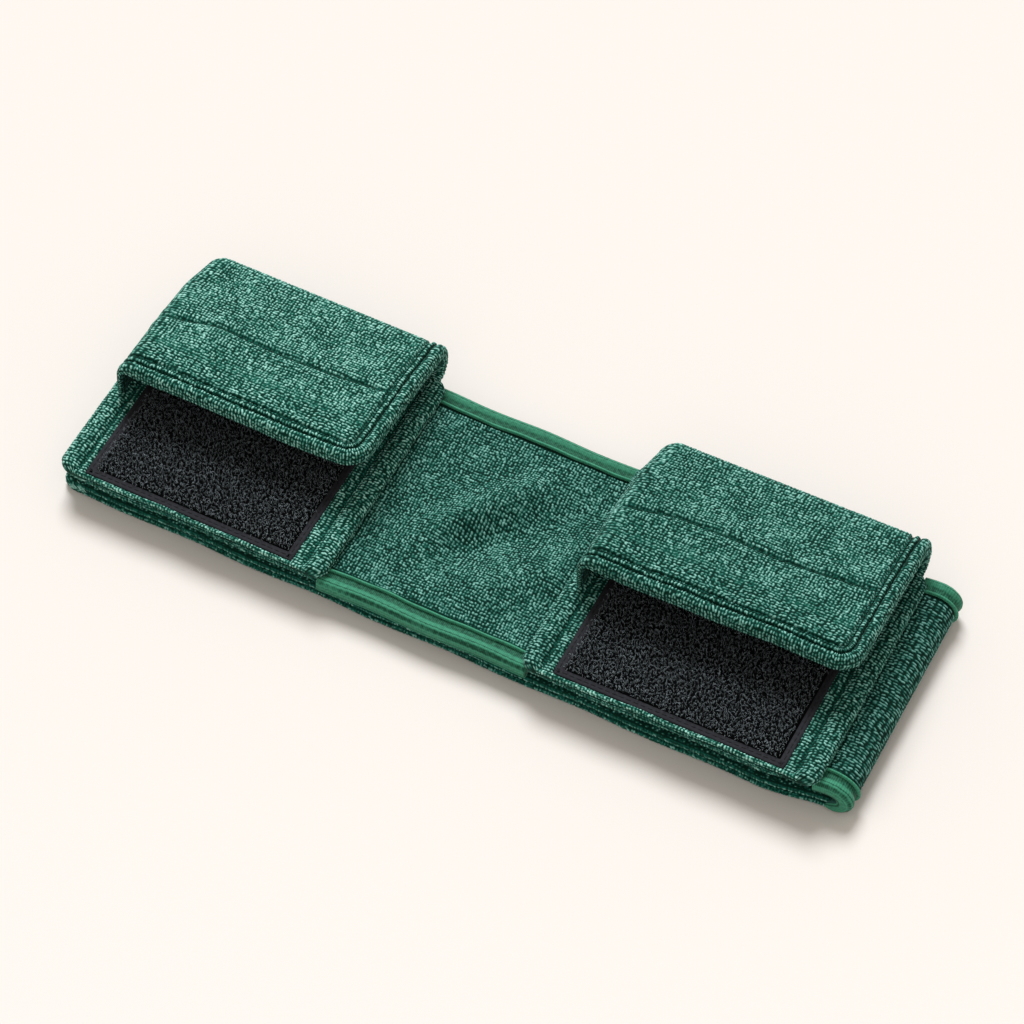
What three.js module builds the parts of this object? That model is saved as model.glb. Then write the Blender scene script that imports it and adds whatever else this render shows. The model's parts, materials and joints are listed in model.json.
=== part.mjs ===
// Towelling spa headband, folded in half on a table, in millimetres, +Z up.
//
// The band is a long two-ply terry strip. It is folded at its right end, so its two halves lie on
// each other with the free ends together at the left. Two tab units are sewn on the upper half.
// Each unit is a terry pad with a black hook patch, and a terry flap that comes up round the pad's
// rear edge and lies forward over the rear of the patch.
//
// Every fold is cloth, so it is drawn as a short upright spine with a fold line at each end.
// The outer ply of a fold ends square at the fold line. The inner ply ends short of it, which
// leaves room for the fold to open flat. The sheets lie in x and y: x runs from the free ends to
// the fold, and y from the front edge to the rear.
import * as THREE from "three";

// The band.
const FOLDED_LENGTH = 296;
const BAND_WIDTH = 92;
const PLY = 2.5; // one ply of terry, pile and all
const LAYER_GAP = 0.3; // between the two halves of the folded band
const LOWER_EDGE_INSET = 1; // the lower half's raw edges lie inside the width
const END_HEM_LENGTH = 6;
const CORNER_RADIUS = 3;
const BEND_X = 174; // from here the upper half climbs to the fold
const CLIMB = THREE.MathUtils.degToRad(1.27);

// Clearances.
const SEW_GAP = 0.3; // between pieces that are sewn to each other
const FOLD_GAP = 0.15; // from a fold line to the end of a ply

// The knit binding on the upper half's edges, and the thin cover-stitch piping beside it.
const BINDING_WALL = 1.9;
const BINDING_LIP = 3.2;
const BINDING_RISE = 0.7;
const BINDING_RADIUS = 0.6;
const PIPING_SETBACK = 4.6; // from the band's edge to the piping's near side
const PIPING_WIDTH = 1.1;
const PIPING_HEIGHT = 0.6;

// The tab units: where each one starts and ends along the band.
const UNITS = [
  { name: "left", start: 0, end: 103, flapEndInset: 4, patchStartInset: 10.2, patchEndInset: 12.2 },
  { name: "right", start: 177.3, end: 284.6, flapEndInset: 3, patchStartInset: 11.6, patchEndInset: 11.6 },
];
const PAD_PLY = 2.4;
const PAD_HEM_WIDTH = 8.5;
const PAD_HEM_HEIGHT = 3.9;
const PAD_PIPING_WIDTH = 2.1;
const PAD_PIPING_HEIGHT = 3.3;

// The hook patch: woven tape, a line of stitches near its edge, and the field of hooks inside it.
const PATCH_FRONT_GAP = 0.3; // from the pad's piping to the tape
const PATCH_DEPTH = 76;
const TAPE_THICKNESS = 0.6;
const TAPE_RADIUS = 1.5;
const STITCH_INSET = 1.2;
const STITCH_WIDTH = 0.7;
const STITCH_HEIGHT = 0.3;
const FIELD_INSET = 2.6;
const FIELD_HEIGHT = 1.1;

// The flap.
const ROLL_OVERHANG = 7.65; // how far the roll stands behind the band's rear edge
const ROLL_HEIGHT = 12.55; // between the roll's two fold lines
const FLAP_DEPTH = 62;
const FLAP_TILT = THREE.MathUtils.degToRad(5);
const FLAP_START_INSET = 4;
const FLAP_HEM_WIDTH = 4.5;
const FLAP_HEM_PUFF = 0.3; // how far the hem stands proud of both plies
const FLAP_CORNER_RADIUS = 9;
const FLAP_SEAM_SETBACK = 33; // from the fold line to the seam across the flap
const FLAP_STITCH_WIDTH = 0.8;
const FLAP_STITCH_HEIGHT = 0.4;
const SIDE_TURN_WIDTH = 5; // the left side, which turns down to the pad
const SIDE_TURN_FRONT_GAP = 0.3;

// Worked out from the values above.
const LAYER = 2 * PLY;
const UPPER_BOTTOM = LAYER + LAYER_GAP;
const UPPER_TOP = UPPER_BOTTOM + LAYER;
const UPPER_EDGE_INSET = BINDING_WALL + SEW_GAP;
const FOLD_X = FOLDED_LENGTH - PLY;
const PAD_TOP = SEW_GAP + PAD_PLY;
const PAD_FOLD_Z = SEW_GAP + PAD_PLY / 2;
const SPINE_HALF = PLY + SEW_GAP / 2;
const ROLL_FOLD_Y = BAND_WIDTH + ROLL_OVERHANG - SPINE_HALF;
const PATCH_FRONT = PAD_PIPING_WIDTH + PATCH_FRONT_GAP;

const TERRY = 0x4d7f73;
const TERRY_DARK = 0x3a6a5f;
const BINDING = 0x3a9470;
const THREAD = 0x2c6354;
const HOOK = 0x222628;
const HOOK_TAPE = 0x2b2c31;

function cloth(color, roughness) {
  return new THREE.MeshStandardMaterial({ color, roughness, metalness: 0 });
}

function add(group, name, geometry, color, roughness = 0.95) {
  const mesh = new THREE.Mesh(geometry, cloth(color, roughness));
  mesh.name = name;
  group.add(mesh);
}

// How far an inner ply stops short of a fold line where two sheets meet at this inside angle.
function setback(angle) {
  return SPINE_HALF / Math.tan(angle / 2) + FOLD_GAP;
}

// How high the upper half has climbed at x.
function climbAt(x) {
  return Math.max(0, x - BEND_X) * Math.tan(CLIMB);
}

// A rectangle with a radius at each corner, from the low left one round to the high left one.
function rectangle(x0, x1, y0, y1, [lowLeft, lowRight, highRight, highLeft]) {
  const shape = new THREE.Shape();
  shape.moveTo(x0 + lowLeft, y0);
  shape.lineTo(x1 - lowRight, y0);
  if (lowRight) shape.absarc(x1 - lowRight, y0 + lowRight, lowRight, -Math.PI / 2, 0);
  shape.lineTo(x1, y1 - highRight);
  if (highRight) shape.absarc(x1 - highRight, y1 - highRight, highRight, 0, Math.PI / 2);
  shape.lineTo(x0 + highLeft, y1);
  if (highLeft) shape.absarc(x0 + highLeft, y1 - highLeft, highLeft, Math.PI / 2, Math.PI);
  shape.lineTo(x0, y0 + lowLeft);
  if (lowLeft) shape.absarc(x0 + lowLeft, y0 + lowLeft, lowLeft, Math.PI, 1.5 * Math.PI);
  return shape;
}

// A plan shape in x and y, given a thickness from z0 to z1.
function sheet(shape, z0, z1) {
  const options = { depth: z1 - z0, bevelEnabled: false, curveSegments: 8 };
  return new THREE.ExtrudeGeometry(shape, options).translate(0, 0, z0);
}

// A section in y and z, carried along x.
function alongX(shape, x0, x1) {
  const options = { depth: x1 - x0, bevelEnabled: false, curveSegments: 6 };
  const toX = new THREE.Matrix4().makeBasis(
    new THREE.Vector3(0, 1, 0),
    new THREE.Vector3(0, 0, 1),
    new THREE.Vector3(1, 0, 0),
  );
  return new THREE.ExtrudeGeometry(shape, options).applyMatrix4(toX).translate(x0, 0, 0);
}

// A section in x and z, carried along y.
function alongY(shape, y0, y1) {
  const options = { depth: y1 - y0, bevelEnabled: false, curveSegments: 6 };
  const toY = new THREE.Matrix4().makeRotationX(Math.PI / 2);
  return new THREE.ExtrudeGeometry(shape, options).applyMatrix4(toY).translate(0, y1, 0);
}

// A closed outline through points.
function outline(points) {
  return new THREE.Shape(points.map(([x, y]) => new THREE.Vector2(x, y)));
}

// One ply of the upper half: level as far as the bend, then climbing to xEnd.
function upperPly(xStart, xEnd, bottom) {
  const rise = climbAt(xEnd);
  const section = outline([
    [xStart, bottom],
    [BEND_X, bottom],
    [xEnd, bottom + rise],
    [xEnd, bottom + rise + PLY],
    [BEND_X, bottom + PLY],
    [xStart, bottom + PLY],
  ]);
  return alongY(section, UPPER_EDGE_INSET, BAND_WIDTH - UPPER_EDGE_INSET);
}

// The folded hem that closes both plies at a free end.
function endHem(bottom, inset) {
  const top = bottom + LAYER;
  const round = LAYER / 2 - SEW_GAP;
  const section = rectangle(0, END_HEM_LENGTH, bottom, top, [round, 0, 0, round]);
  return alongY(section, inset, BAND_WIDTH - inset);
}

function buildUpperBand(model) {
  const plyStart = END_HEM_LENGTH + SEW_GAP;
  const innerEnd = FOLD_X - setback(Math.PI / 2);
  add(model, "upper_band_face", upperPly(plyStart, FOLD_X - FOLD_GAP, UPPER_BOTTOM + PLY), TERRY);
  add(model, "upper_band_lining", upperPly(plyStart, innerEnd, UPPER_BOTTOM), TERRY_DARK);
  add(model, "upper_end_hem", endHem(UPPER_BOTTOM, UPPER_EDGE_INSET), TERRY);
}

function buildLowerBand(model) {
  const front = LOWER_EDGE_INSET;
  const rear = BAND_WIDTH - LOWER_EDGE_INSET;
  const plyStart = END_HEM_LENGTH + SEW_GAP;
  const face = rectangle(plyStart, FOLD_X - FOLD_GAP, front, rear, [0, 0, 0, 0]);
  const lining = rectangle(plyStart, FOLD_X - setback(Math.PI / 2), front, rear, [0, 0, 0, 0]);
  add(model, "lower_band_face", sheet(face, 0, PLY), TERRY_DARK);
  add(model, "lower_band_lining", sheet(lining, PLY, LAYER), TERRY_DARK);
  add(model, "lower_end_hem", endHem(0, LOWER_EDGE_INSET), TERRY_DARK);
}

// The binding's section on the front edge: a wall outside the plies, and a lip over them.
function bindingSection(bottom) {
  const top = SEW_GAP + BINDING_RISE;
  const section = new THREE.Shape();
  section.moveTo(0, bottom);
  section.lineTo(BINDING_WALL, bottom);
  section.lineTo(BINDING_WALL, SEW_GAP);
  section.lineTo(BINDING_LIP, SEW_GAP);
  section.lineTo(BINDING_LIP, top);
  section.lineTo(BINDING_RADIUS, top);
  section.absarc(BINDING_RADIUS, top - BINDING_RADIUS, BINDING_RADIUS, Math.PI / 2, Math.PI);
  return section;
}

// The same piece on the rear edge: turned half round a vertical line, so that x is kept by swapping.
function onRearEdge(geometry, x0, x1) {
  return geometry.rotateZ(Math.PI).translate(x0 + x1, BAND_WIDTH, 0);
}

// Binding and piping on both edges of the upper half, from x0 to x1 of a group at the band's top.
function buildBindings(group, prefix, x0, x1) {
  const bead = rectangle(
    PIPING_SETBACK,
    PIPING_SETBACK + PIPING_WIDTH,
    SEW_GAP,
    SEW_GAP + PIPING_HEIGHT,
    [0, 0, PIPING_HEIGHT / 2, PIPING_HEIGHT / 2],
  );
  const binding = () => alongX(bindingSection(-LAYER), x0, x1);
  const piping = () => alongX(bead, x0, x1);
  add(group, `${prefix}_front_binding`, binding(), BINDING, 0.85);
  add(group, `${prefix}_front_piping`, piping(), BINDING, 0.85);
  add(group, `${prefix}_rear_binding`, onRearEdge(binding(), x0, x1), BINDING, 0.85);
  add(group, `${prefix}_rear_piping`, onRearEdge(piping(), x0, x1), BINDING, 0.85);
}

// The spine of the fold at the right end, and the binding that runs round it.
function buildFold(model) {
  const lowerFold = PLY;
  const upperFold = UPPER_BOTTOM + PLY + climbAt(FOLD_X);
  const inner = setback(Math.PI / 2);
  const front = UPPER_EDGE_INSET;
  const rear = BAND_WIDTH - UPPER_EDGE_INSET;
  const face = rectangle(FOLD_X, FOLD_X + PLY, lowerFold + FOLD_GAP, upperFold - FOLD_GAP, [0, 0, 0, 0]);
  const lining = rectangle(FOLD_X - PLY, FOLD_X, lowerFold + inner, upperFold - inner, [0, 0, 0, 0]);
  add(model, "fold_face", alongY(face, front, rear), TERRY);
  add(model, "fold_lining", alongY(lining, front, rear), TERRY_DARK);
  for (const [side, y0] of [["front", 0], ["rear", BAND_WIDTH - BINDING_WALL]]) {
    const binding = alongY(face, y0, y0 + BINDING_WALL);
    add(model, `fold_${side}_binding`, binding, BINDING, 0.85);
  }
}

// A frame of thread or tape edge: a rounded rectangle with a smaller one cut out of it.
function frame(x0, x1, y0, y1, width, radius) {
  const outer = rectangle(x0, x1, y0, y1, Array(4).fill(radius));
  outer.holes.push(rectangle(x0 + width, x1 - width, y0 + width, y1 - width, [0, 0, 0, 0]));
  return outer;
}

function buildPad(group, unit) {
  const x0 = unit.start;
  const x1 = unit.end;
  const plyX0 = x0 + PAD_HEM_WIDTH + SEW_GAP;
  const plyX1 = x1 - PAD_HEM_WIDTH - SEW_GAP;
  const plyFront = PAD_PIPING_WIDTH + SEW_GAP;
  const ply = rectangle(plyX0, plyX1, plyFront, ROLL_FOLD_Y - FOLD_GAP, [0, 0, 0, 0]);
  add(group, `${unit.name}_pad`, sheet(ply, SEW_GAP, PAD_TOP), TERRY);

  const hemTop = SEW_GAP + PAD_HEM_HEIGHT;
  const radii = [0.4, 0.4, 1.6, 1.6];
  const hem = (start) => alongY(rectangle(start, start + PAD_HEM_WIDTH, SEW_GAP, hemTop, radii), 0, BAND_WIDTH);
  add(group, `${unit.name}_pad_start_hem`, hem(x0), TERRY);
  add(group, `${unit.name}_pad_end_hem`, hem(x1 - PAD_HEM_WIDTH), TERRY);

  const round = PAD_PIPING_WIDTH / 2 - 0.1;
  const pipingTop = SEW_GAP + PAD_PIPING_HEIGHT;
  const piping = rectangle(0, PAD_PIPING_WIDTH, SEW_GAP, pipingTop, Array(4).fill(round));
  add(group, `${unit.name}_pad_piping`, alongX(piping, plyX0, plyX1), TERRY);
}

function buildHookPatch(group, unit) {
  const x0 = unit.start + unit.patchStartInset;
  const x1 = unit.end - unit.patchEndInset;
  const y0 = PATCH_FRONT;
  const y1 = PATCH_FRONT + PATCH_DEPTH;
  const tapeBottom = PAD_TOP + SEW_GAP;
  const tapeTop = tapeBottom + TAPE_THICKNESS;
  const seat = tapeTop + SEW_GAP;
  const tape = rectangle(x0, x1, y0, y1, Array(4).fill(TAPE_RADIUS));
  add(group, `${unit.name}_hook_tape`, sheet(tape, tapeBottom, tapeTop), HOOK_TAPE, 0.7);

  const s = STITCH_INSET;
  const stitch = frame(x0 + s, x1 - s, y0 + s, y1 - s, STITCH_WIDTH, TAPE_RADIUS / 2);
  add(group, `${unit.name}_hook_stitch`, sheet(stitch, seat, seat + STITCH_HEIGHT), HOOK, 0.7);

  const f = FIELD_INSET;
  const field = rectangle(x0 + f, x1 - f, y0 + f, y1 - f, Array(4).fill(TAPE_RADIUS / 2));
  add(group, `${unit.name}_hook_field`, sheet(field, seat, seat + FIELD_HEIGHT), HOOK, 0.9);
}

// The roll behind the pad: two upright plies and the hem at their open end.
function buildRoll(group, unit, flapStart, flapEnd) {
  const flapAngle = Math.PI / 2 + FLAP_TILT;
  const hemStart = flapEnd - FLAP_HEM_WIDTH;
  const plyEnd = hemStart - SEW_GAP;
  const low = PAD_FOLD_Z + setback(Math.PI / 2);
  const high = PAD_FOLD_Z + ROLL_HEIGHT - setback(flapAngle);
  const y = ROLL_FOLD_Y;
  const half = SEW_GAP / 2;
  const outerTop = PAD_FOLD_Z + ROLL_HEIGHT - FOLD_GAP;
  const face = rectangle(y + half, y + SPINE_HALF, PAD_FOLD_Z + FOLD_GAP, outerTop, [0, 0, 0, 0]);
  const lining = rectangle(y - SPINE_HALF, y - half, low, high, [0, 0, 0, 0]);
  const hem = rectangle(y - SPINE_HALF, y + SPINE_HALF, low, high, [0, 0, 0, 0]);
  add(group, `${unit.name}_roll_face`, alongX(face, flapStart, plyEnd), TERRY);
  add(group, `${unit.name}_roll_lining`, alongX(lining, flapStart, plyEnd), TERRY_DARK);
  add(group, `${unit.name}_roll_hem`, alongX(hem, hemStart, flapEnd), TERRY);
}

// A strip of a given width along the flap's front and open side, round its corner. The flap lies
// in its own frame: y is 0 at the fold line and falls to the front edge.
function frontAndSideStrip(x0, x1, front, rear, width, radius) {
  const inner = Math.max(radius - width, 0.5);
  const shape = new THREE.Shape();
  shape.moveTo(x0, front);
  shape.lineTo(x1 - radius, front);
  shape.absarc(x1 - radius, front + radius, radius, -Math.PI / 2, 0);
  shape.lineTo(x1, rear);
  shape.lineTo(x1 - width, rear);
  shape.lineTo(x1 - width, front + width + inner);
  shape.absarc(x1 - width - inner, front + width + inner, inner, 0, -Math.PI / 2, true);
  shape.lineTo(x0, front + width);
  return shape;
}

function buildFlap(group, unit, x0, x1) {
  const inner = setback(Math.PI / 2 + FLAP_TILT);
  const half = SEW_GAP / 2;
  const front = -FLAP_DEPTH;
  const hemmed = FLAP_HEM_WIDTH + SEW_GAP;
  const cornered = [0, FLAP_CORNER_RADIUS - FLAP_HEM_WIDTH, 0, 0];
  const face = rectangle(x0, x1 - hemmed, front + hemmed, -FOLD_GAP, cornered);
  const lining = rectangle(x0, x1 - hemmed, front + hemmed, -inner, cornered);
  add(group, `${unit.name}_flap_face`, sheet(face, half, SPINE_HALF), TERRY);
  add(group, `${unit.name}_flap_lining`, sheet(lining, -SPINE_HALF, -half), TERRY_DARK);

  const hem = frontAndSideStrip(x0, x1, front, -inner, FLAP_HEM_WIDTH, FLAP_CORNER_RADIUS);
  const hemHalf = SPINE_HALF + FLAP_HEM_PUFF;
  add(group, `${unit.name}_flap_hem`, sheet(hem, -hemHalf, hemHalf), TERRY);

  const seat = SPINE_HALF + SEW_GAP;
  const stitchX1 = x1 - hemmed - SEW_GAP;
  const stitchFront = front + hemmed + SEW_GAP;
  const stitchRadius = FLAP_CORNER_RADIUS - FLAP_HEM_WIDTH;
  const stitch = frontAndSideStrip(x0, stitchX1, stitchFront, -inner, FLAP_STITCH_WIDTH, stitchRadius);
  add(group, `${unit.name}_flap_hem_stitch`, sheet(stitch, seat, seat + FLAP_STITCH_HEIGHT), THREAD);

  const seamRear = -FLAP_SEAM_SETBACK;
  const seamX1 = stitchX1 - FLAP_STITCH_WIDTH - SEW_GAP;
  const seam = rectangle(x0, seamX1, seamRear - FLAP_STITCH_WIDTH, seamRear, [0, 0, 0, 0]);
  add(group, `${unit.name}_flap_seam_stitch`, sheet(seam, seat, seat + FLAP_STITCH_HEIGHT), THREAD);
}

// The flap's left side, which turns down and rests on the pad's hem. It is drawn upright, as a
// wedge from the hem's top to the flap's underside.
function buildSideTurn(group, unit, x0) {
  const bottom = SEW_GAP + PAD_HEM_HEIGHT + SEW_GAP;
  const foldZ = PAD_FOLD_Z + ROLL_HEIGHT;
  const under = (SPINE_HALF + FLAP_HEM_PUFF + SEW_GAP) / Math.cos(FLAP_TILT);
  const topAt = (y) => foldZ - under + (ROLL_FOLD_Y - y) * Math.tan(FLAP_TILT);
  const front = ROLL_FOLD_Y - (FLAP_DEPTH - SIDE_TURN_FRONT_GAP) * Math.cos(FLAP_TILT);
  const rear = ROLL_FOLD_Y - SPINE_HALF - SEW_GAP;
  const section = outline([
    [front, bottom],
    [rear, bottom],
    [rear, topAt(rear)],
    [front, topAt(front)],
  ]);
  add(group, `${unit.name}_flap_side_turn`, alongX(section, x0, x0 + SIDE_TURN_WIDTH), TERRY);
}

// A tab unit, in a group whose z is 0 at the top of the band under it.
function buildUnit(group, unit) {
  const flapStart = unit.start + FLAP_START_INSET;
  const flapEnd = unit.end - unit.flapEndInset;
  buildPad(group, unit);
  buildHookPatch(group, unit);
  buildRoll(group, unit, flapStart, flapEnd);
  buildSideTurn(group, unit, flapStart);

  const flap = new THREE.Group();
  flap.position.set(0, ROLL_FOLD_Y, PAD_FOLD_Z + ROLL_HEIGHT);
  flap.rotation.x = -FLAP_TILT;
  group.add(flap);
  buildFlap(flap, unit, flapStart, flapEnd);
}

function build() {
  const model = new THREE.Group();
  buildUpperBand(model);
  buildLowerBand(model);
  buildFold(model);

  const level = new THREE.Group();
  level.position.z = UPPER_TOP;
  const [leftUnit, rightUnit] = UNITS;
  buildUnit(level, leftUnit);
  buildBindings(level, "mid", leftUnit.end + SEW_GAP, BEND_X);

  const climbing = new THREE.Group();
  climbing.position.set(BEND_X, 0, UPPER_TOP);
  climbing.rotation.y = -CLIMB;
  const shifted = { ...rightUnit, start: rightUnit.start - BEND_X, end: rightUnit.end - BEND_X };
  buildUnit(climbing, shifted);
  buildBindings(climbing, "end", shifted.end + SEW_GAP, FOLD_X - FOLD_GAP - BEND_X);

  model.add(level, climbing);
  return model;
}

// The origin is at the middle of the model's box, on the table.
function centred(model) {
  model.updateMatrixWorld(true);
  const middle = new THREE.Box3().setFromObject(model, true).getCenter(new THREE.Vector3());
  model.position.set(-middle.x, -middle.y, 0);
  return model;
}

export default centred(build());
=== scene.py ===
"""A towelling spa headband, folded in half, with two hooked tab units.

Lengths are millimetres in the frame's own axes until a mesh is written, which is in metres.
A soft piece is a closed section carried along stations. The section lies in k, across the piece,
and h, up from the cloth's middle surface, and a station is a place s along the piece. A place
function carries k, s and h onto the cloth where it lies.
"""
import json

import bpy
import numpy as np
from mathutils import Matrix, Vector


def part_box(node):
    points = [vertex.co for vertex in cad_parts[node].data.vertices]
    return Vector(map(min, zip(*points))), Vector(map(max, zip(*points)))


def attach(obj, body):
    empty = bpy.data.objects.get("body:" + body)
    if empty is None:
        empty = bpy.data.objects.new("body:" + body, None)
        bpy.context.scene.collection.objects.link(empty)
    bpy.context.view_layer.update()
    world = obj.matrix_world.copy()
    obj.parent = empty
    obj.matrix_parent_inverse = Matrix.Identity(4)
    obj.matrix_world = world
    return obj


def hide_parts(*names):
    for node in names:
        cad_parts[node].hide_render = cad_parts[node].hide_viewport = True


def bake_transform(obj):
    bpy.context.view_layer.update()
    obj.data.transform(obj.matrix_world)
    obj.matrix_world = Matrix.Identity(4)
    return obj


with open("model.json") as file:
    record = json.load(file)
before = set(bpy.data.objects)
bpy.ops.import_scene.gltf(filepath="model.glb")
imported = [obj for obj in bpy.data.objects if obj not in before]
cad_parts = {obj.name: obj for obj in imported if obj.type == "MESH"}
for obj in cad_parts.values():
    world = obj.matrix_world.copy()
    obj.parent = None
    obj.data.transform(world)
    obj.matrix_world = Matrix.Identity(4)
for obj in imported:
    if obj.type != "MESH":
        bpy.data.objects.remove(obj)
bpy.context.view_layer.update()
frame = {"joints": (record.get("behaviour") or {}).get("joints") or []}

MM = 0.001
SEED = 11
FINE = 0.28  # vertex spacing where the pile is seen close
PANEL_STEP = 0.285  # on the panel, the largest piece
COARSE = 1.6  # where the cloth lies hidden
LOOP_STEP = 0.8  # points wider apart than this cannot show loops


# ---------------------------------------------------------------- the frame's own sizes


def low(node):
    """A CAD node's lowest corner."""
    return np.array(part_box(node)[0]) / MM


def high(node):
    """A CAD node's highest corner."""
    return np.array(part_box(node)[1]) / MM


JOINTS = {joint["name"]: joint for joint in frame["joints"]}


def joint_at(name):
    """A joint's own point."""
    return np.array(JOINTS[name]["pos_m"]) / MM


PLY = high("lower_band_face")[2] - low("lower_band_face")[2]
START_X = low("upper_end_hem")[0]
FRONT_Y = low("left_pad_start_hem")[1]
REAR_Y = high("left_pad_start_hem")[1]
BAND_WIDTH = REAR_Y - FRONT_Y
UPPER_MID = low("upper_band_face")[2]
BEND_X = high("mid_front_binding")[0]
FOLD_X = joint_at("band_unfold")[0]
FOLD_TOP = joint_at("band_unfold")[2]
FOLD_LOW = joint_at("band_unroll")[2]
BINDING_LIP = high("mid_front_binding")[1] - low("mid_front_binding")[1]
PIPING_Y = low("mid_front_piping")[1]


# ---------------------------------------------------------------- curves and sections


def smoothstep(x, start, end):
    t = np.clip((x - start) / (end - start), 0, 1)
    return t * t * (3 - 2 * t)


def bump(x, centre, width):
    """A bell of height 1, one width from its middle to where it has dropped to about a third."""
    return np.exp(-(((x - centre) / width) ** 2))


def blurred(points, spacing, radius, closed):
    """The points moved to a bell-weighted mean of their neighbours, which rounds corners."""
    if radius <= 0:
        return points
    reach = int(np.ceil(3 * radius / spacing))
    weights = np.exp(-0.5 * (np.arange(-reach, reach + 1) * spacing / radius) ** 2)
    weights /= weights.sum()
    if closed:
        padded = np.concatenate([points[-reach:], points, points[:reach]])
    else:
        before = 2 * points[0] - points[reach:0:-1]
        after = 2 * points[-1] - points[-2:-reach - 2:-1]
        padded = np.concatenate([before, points, after])
    columns = [np.convolve(padded[:, c], weights, "valid") for c in range(points.shape[1])]
    return np.stack(columns, 1)


def spaced(points, step, closed):
    """The same line with its points a step apart."""
    line = np.concatenate([points, points[:1]]) if closed else points
    length = np.concatenate([[0], np.cumsum(np.linalg.norm(np.diff(line, axis=0), axis=1))])
    count = max(int(round(length[-1] / step)), 2)
    where = np.linspace(0, length[-1], count + 1)
    if closed:
        where = where[:-1]
    return np.stack([np.interp(where, length, line[:, c]) for c in range(2)], 1)


class Path:
    """A line in a plane, read by the length along it. Its normal points left of travel."""

    STEP = 0.2

    def __init__(self, points, blur):
        line = spaced(np.array(points, float), self.STEP, False)
        line = blurred(line, self.STEP, blur, False)
        tangent = np.gradient(line, axis=0)
        tangent /= np.linalg.norm(tangent, axis=1)[:, None]
        self.line = line
        self.normal = np.stack([-tangent[:, 1], tangent[:, 0]], 1)
        gaps = np.linalg.norm(np.diff(line, axis=0), axis=1)
        self.s = np.concatenate([[0], np.cumsum(gaps)])
        self.length = self.s[-1]

    def at(self, s):
        a, b = (np.interp(s, self.s, self.line[:, c]) for c in range(2))
        na, nb = (np.interp(s, self.s, self.normal[:, c]) for c in range(2))
        return a, b, na, nb

    def nearest(self, a, b):
        """The length along the line at its point nearest to a, b."""
        return self.s[np.argmin((self.line[:, 0] - a) ** 2 + (self.line[:, 1] - b) ** 2)]


class Section:
    """A closed outline in k and h. Its corners are rounded by a blur, and step says how far apart
    its points lie: a number, or a function of k and h. It keeps each point's outward normal, its
    length a along the outline, and whether it is plain, with its neighbours too far for loops."""

    SPACING = 0.05

    def __init__(self, points, step, blur=0.3):
        line = spaced(np.array(points, float), self.SPACING, True)
        line = blurred(line, self.SPACING, blur, True)
        k, h = line.T
        turn = np.roll(k, -1) * h - k * np.roll(h, -1)
        if turn.sum() > 0:
            line = line[::-1]
            k, h = line.T
        wanted = step(k, h) if callable(step) else np.full(len(k), step)
        share = np.concatenate([[0], np.cumsum(self.SPACING / wanted)])
        count = max(int(round(share[-1])), 8)
        where = np.arange(count) * share[-1] / count
        loop = np.concatenate([line, line[:1]])
        self.k, self.h = (np.interp(where, share, loop[:, c]) for c in range(2))
        tangent = np.gradient(np.concatenate([line[-1:], loop]), axis=0)[1:]
        self.nk = np.interp(where, share, tangent[:, 1])
        self.nh = np.interp(where, share, -tangent[:, 0])
        length = np.hypot(self.nk, self.nh)
        self.nk, self.nh = self.nk / length, self.nh / length
        self.a = where / share[-1] * len(k) * self.SPACING
        if callable(step):
            self.a = np.interp(where, share, np.arange(len(k) + 1) * self.SPACING)
        self.plain = np.interp(where, share, np.append(wanted, wanted[:1])) > LOOP_STEP


def stations(start, end, step, start_round=0.0, end_round=0.0):
    """Places from start to end a step apart, closer together where an end is rounded."""
    flat_start, flat_end = start + start_round, end - end_round
    count = max(int(round((flat_end - flat_start) / step)), 1)
    rows = [np.linspace(flat_start, flat_end, count + 1)]
    for radius, edge, side in ((start_round, start, 1), (end_round, end, -1)):
        if radius:
            turns = max(int(round(radius * np.pi / 2 / step)), 3)
            angle = np.linspace(0.06, np.pi / 2, turns + 1)[:-1]
            rows.append(edge + side * radius * (1 - np.cos(angle)))
    return np.sort(np.concatenate(rows))


def end_factor(s, start, end, start_round, end_round):
    """How thick a piece still is near its rounded ends, from 0 at the end to 1."""
    factor = np.ones_like(s)
    for radius, distance in ((start_round, s - start), (end_round, end - s)):
        if radius:
            inside = np.clip(1 - distance / radius, 0, 1)
            factor *= np.sqrt(np.clip(1 - inside**2, 0.0009, 1))
    return factor


# ---------------------------------------------------------------- terry pile


TILE = 96.0  # the pile repeats after this length, which no piece shows side by side
TILE_CELLS = 640
LOOP_HEIGHT = 0.55


def drift(x, y, wavelength, seed):
    """A slow wander between about -1 and 1: six plane waves in seeded directions, summed."""
    waves = np.random.default_rng(seed)
    total = np.zeros(np.broadcast(x, y).shape)
    for _ in range(6):
        angle, phase = waves.uniform(0, 2 * np.pi, 2)
        pitch = wavelength * waves.uniform(0.7, 1.5)
        total += np.sin((x * np.cos(angle) + y * np.sin(angle)) * 2 * np.pi / pitch + phase)
    return total / 2.4


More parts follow.
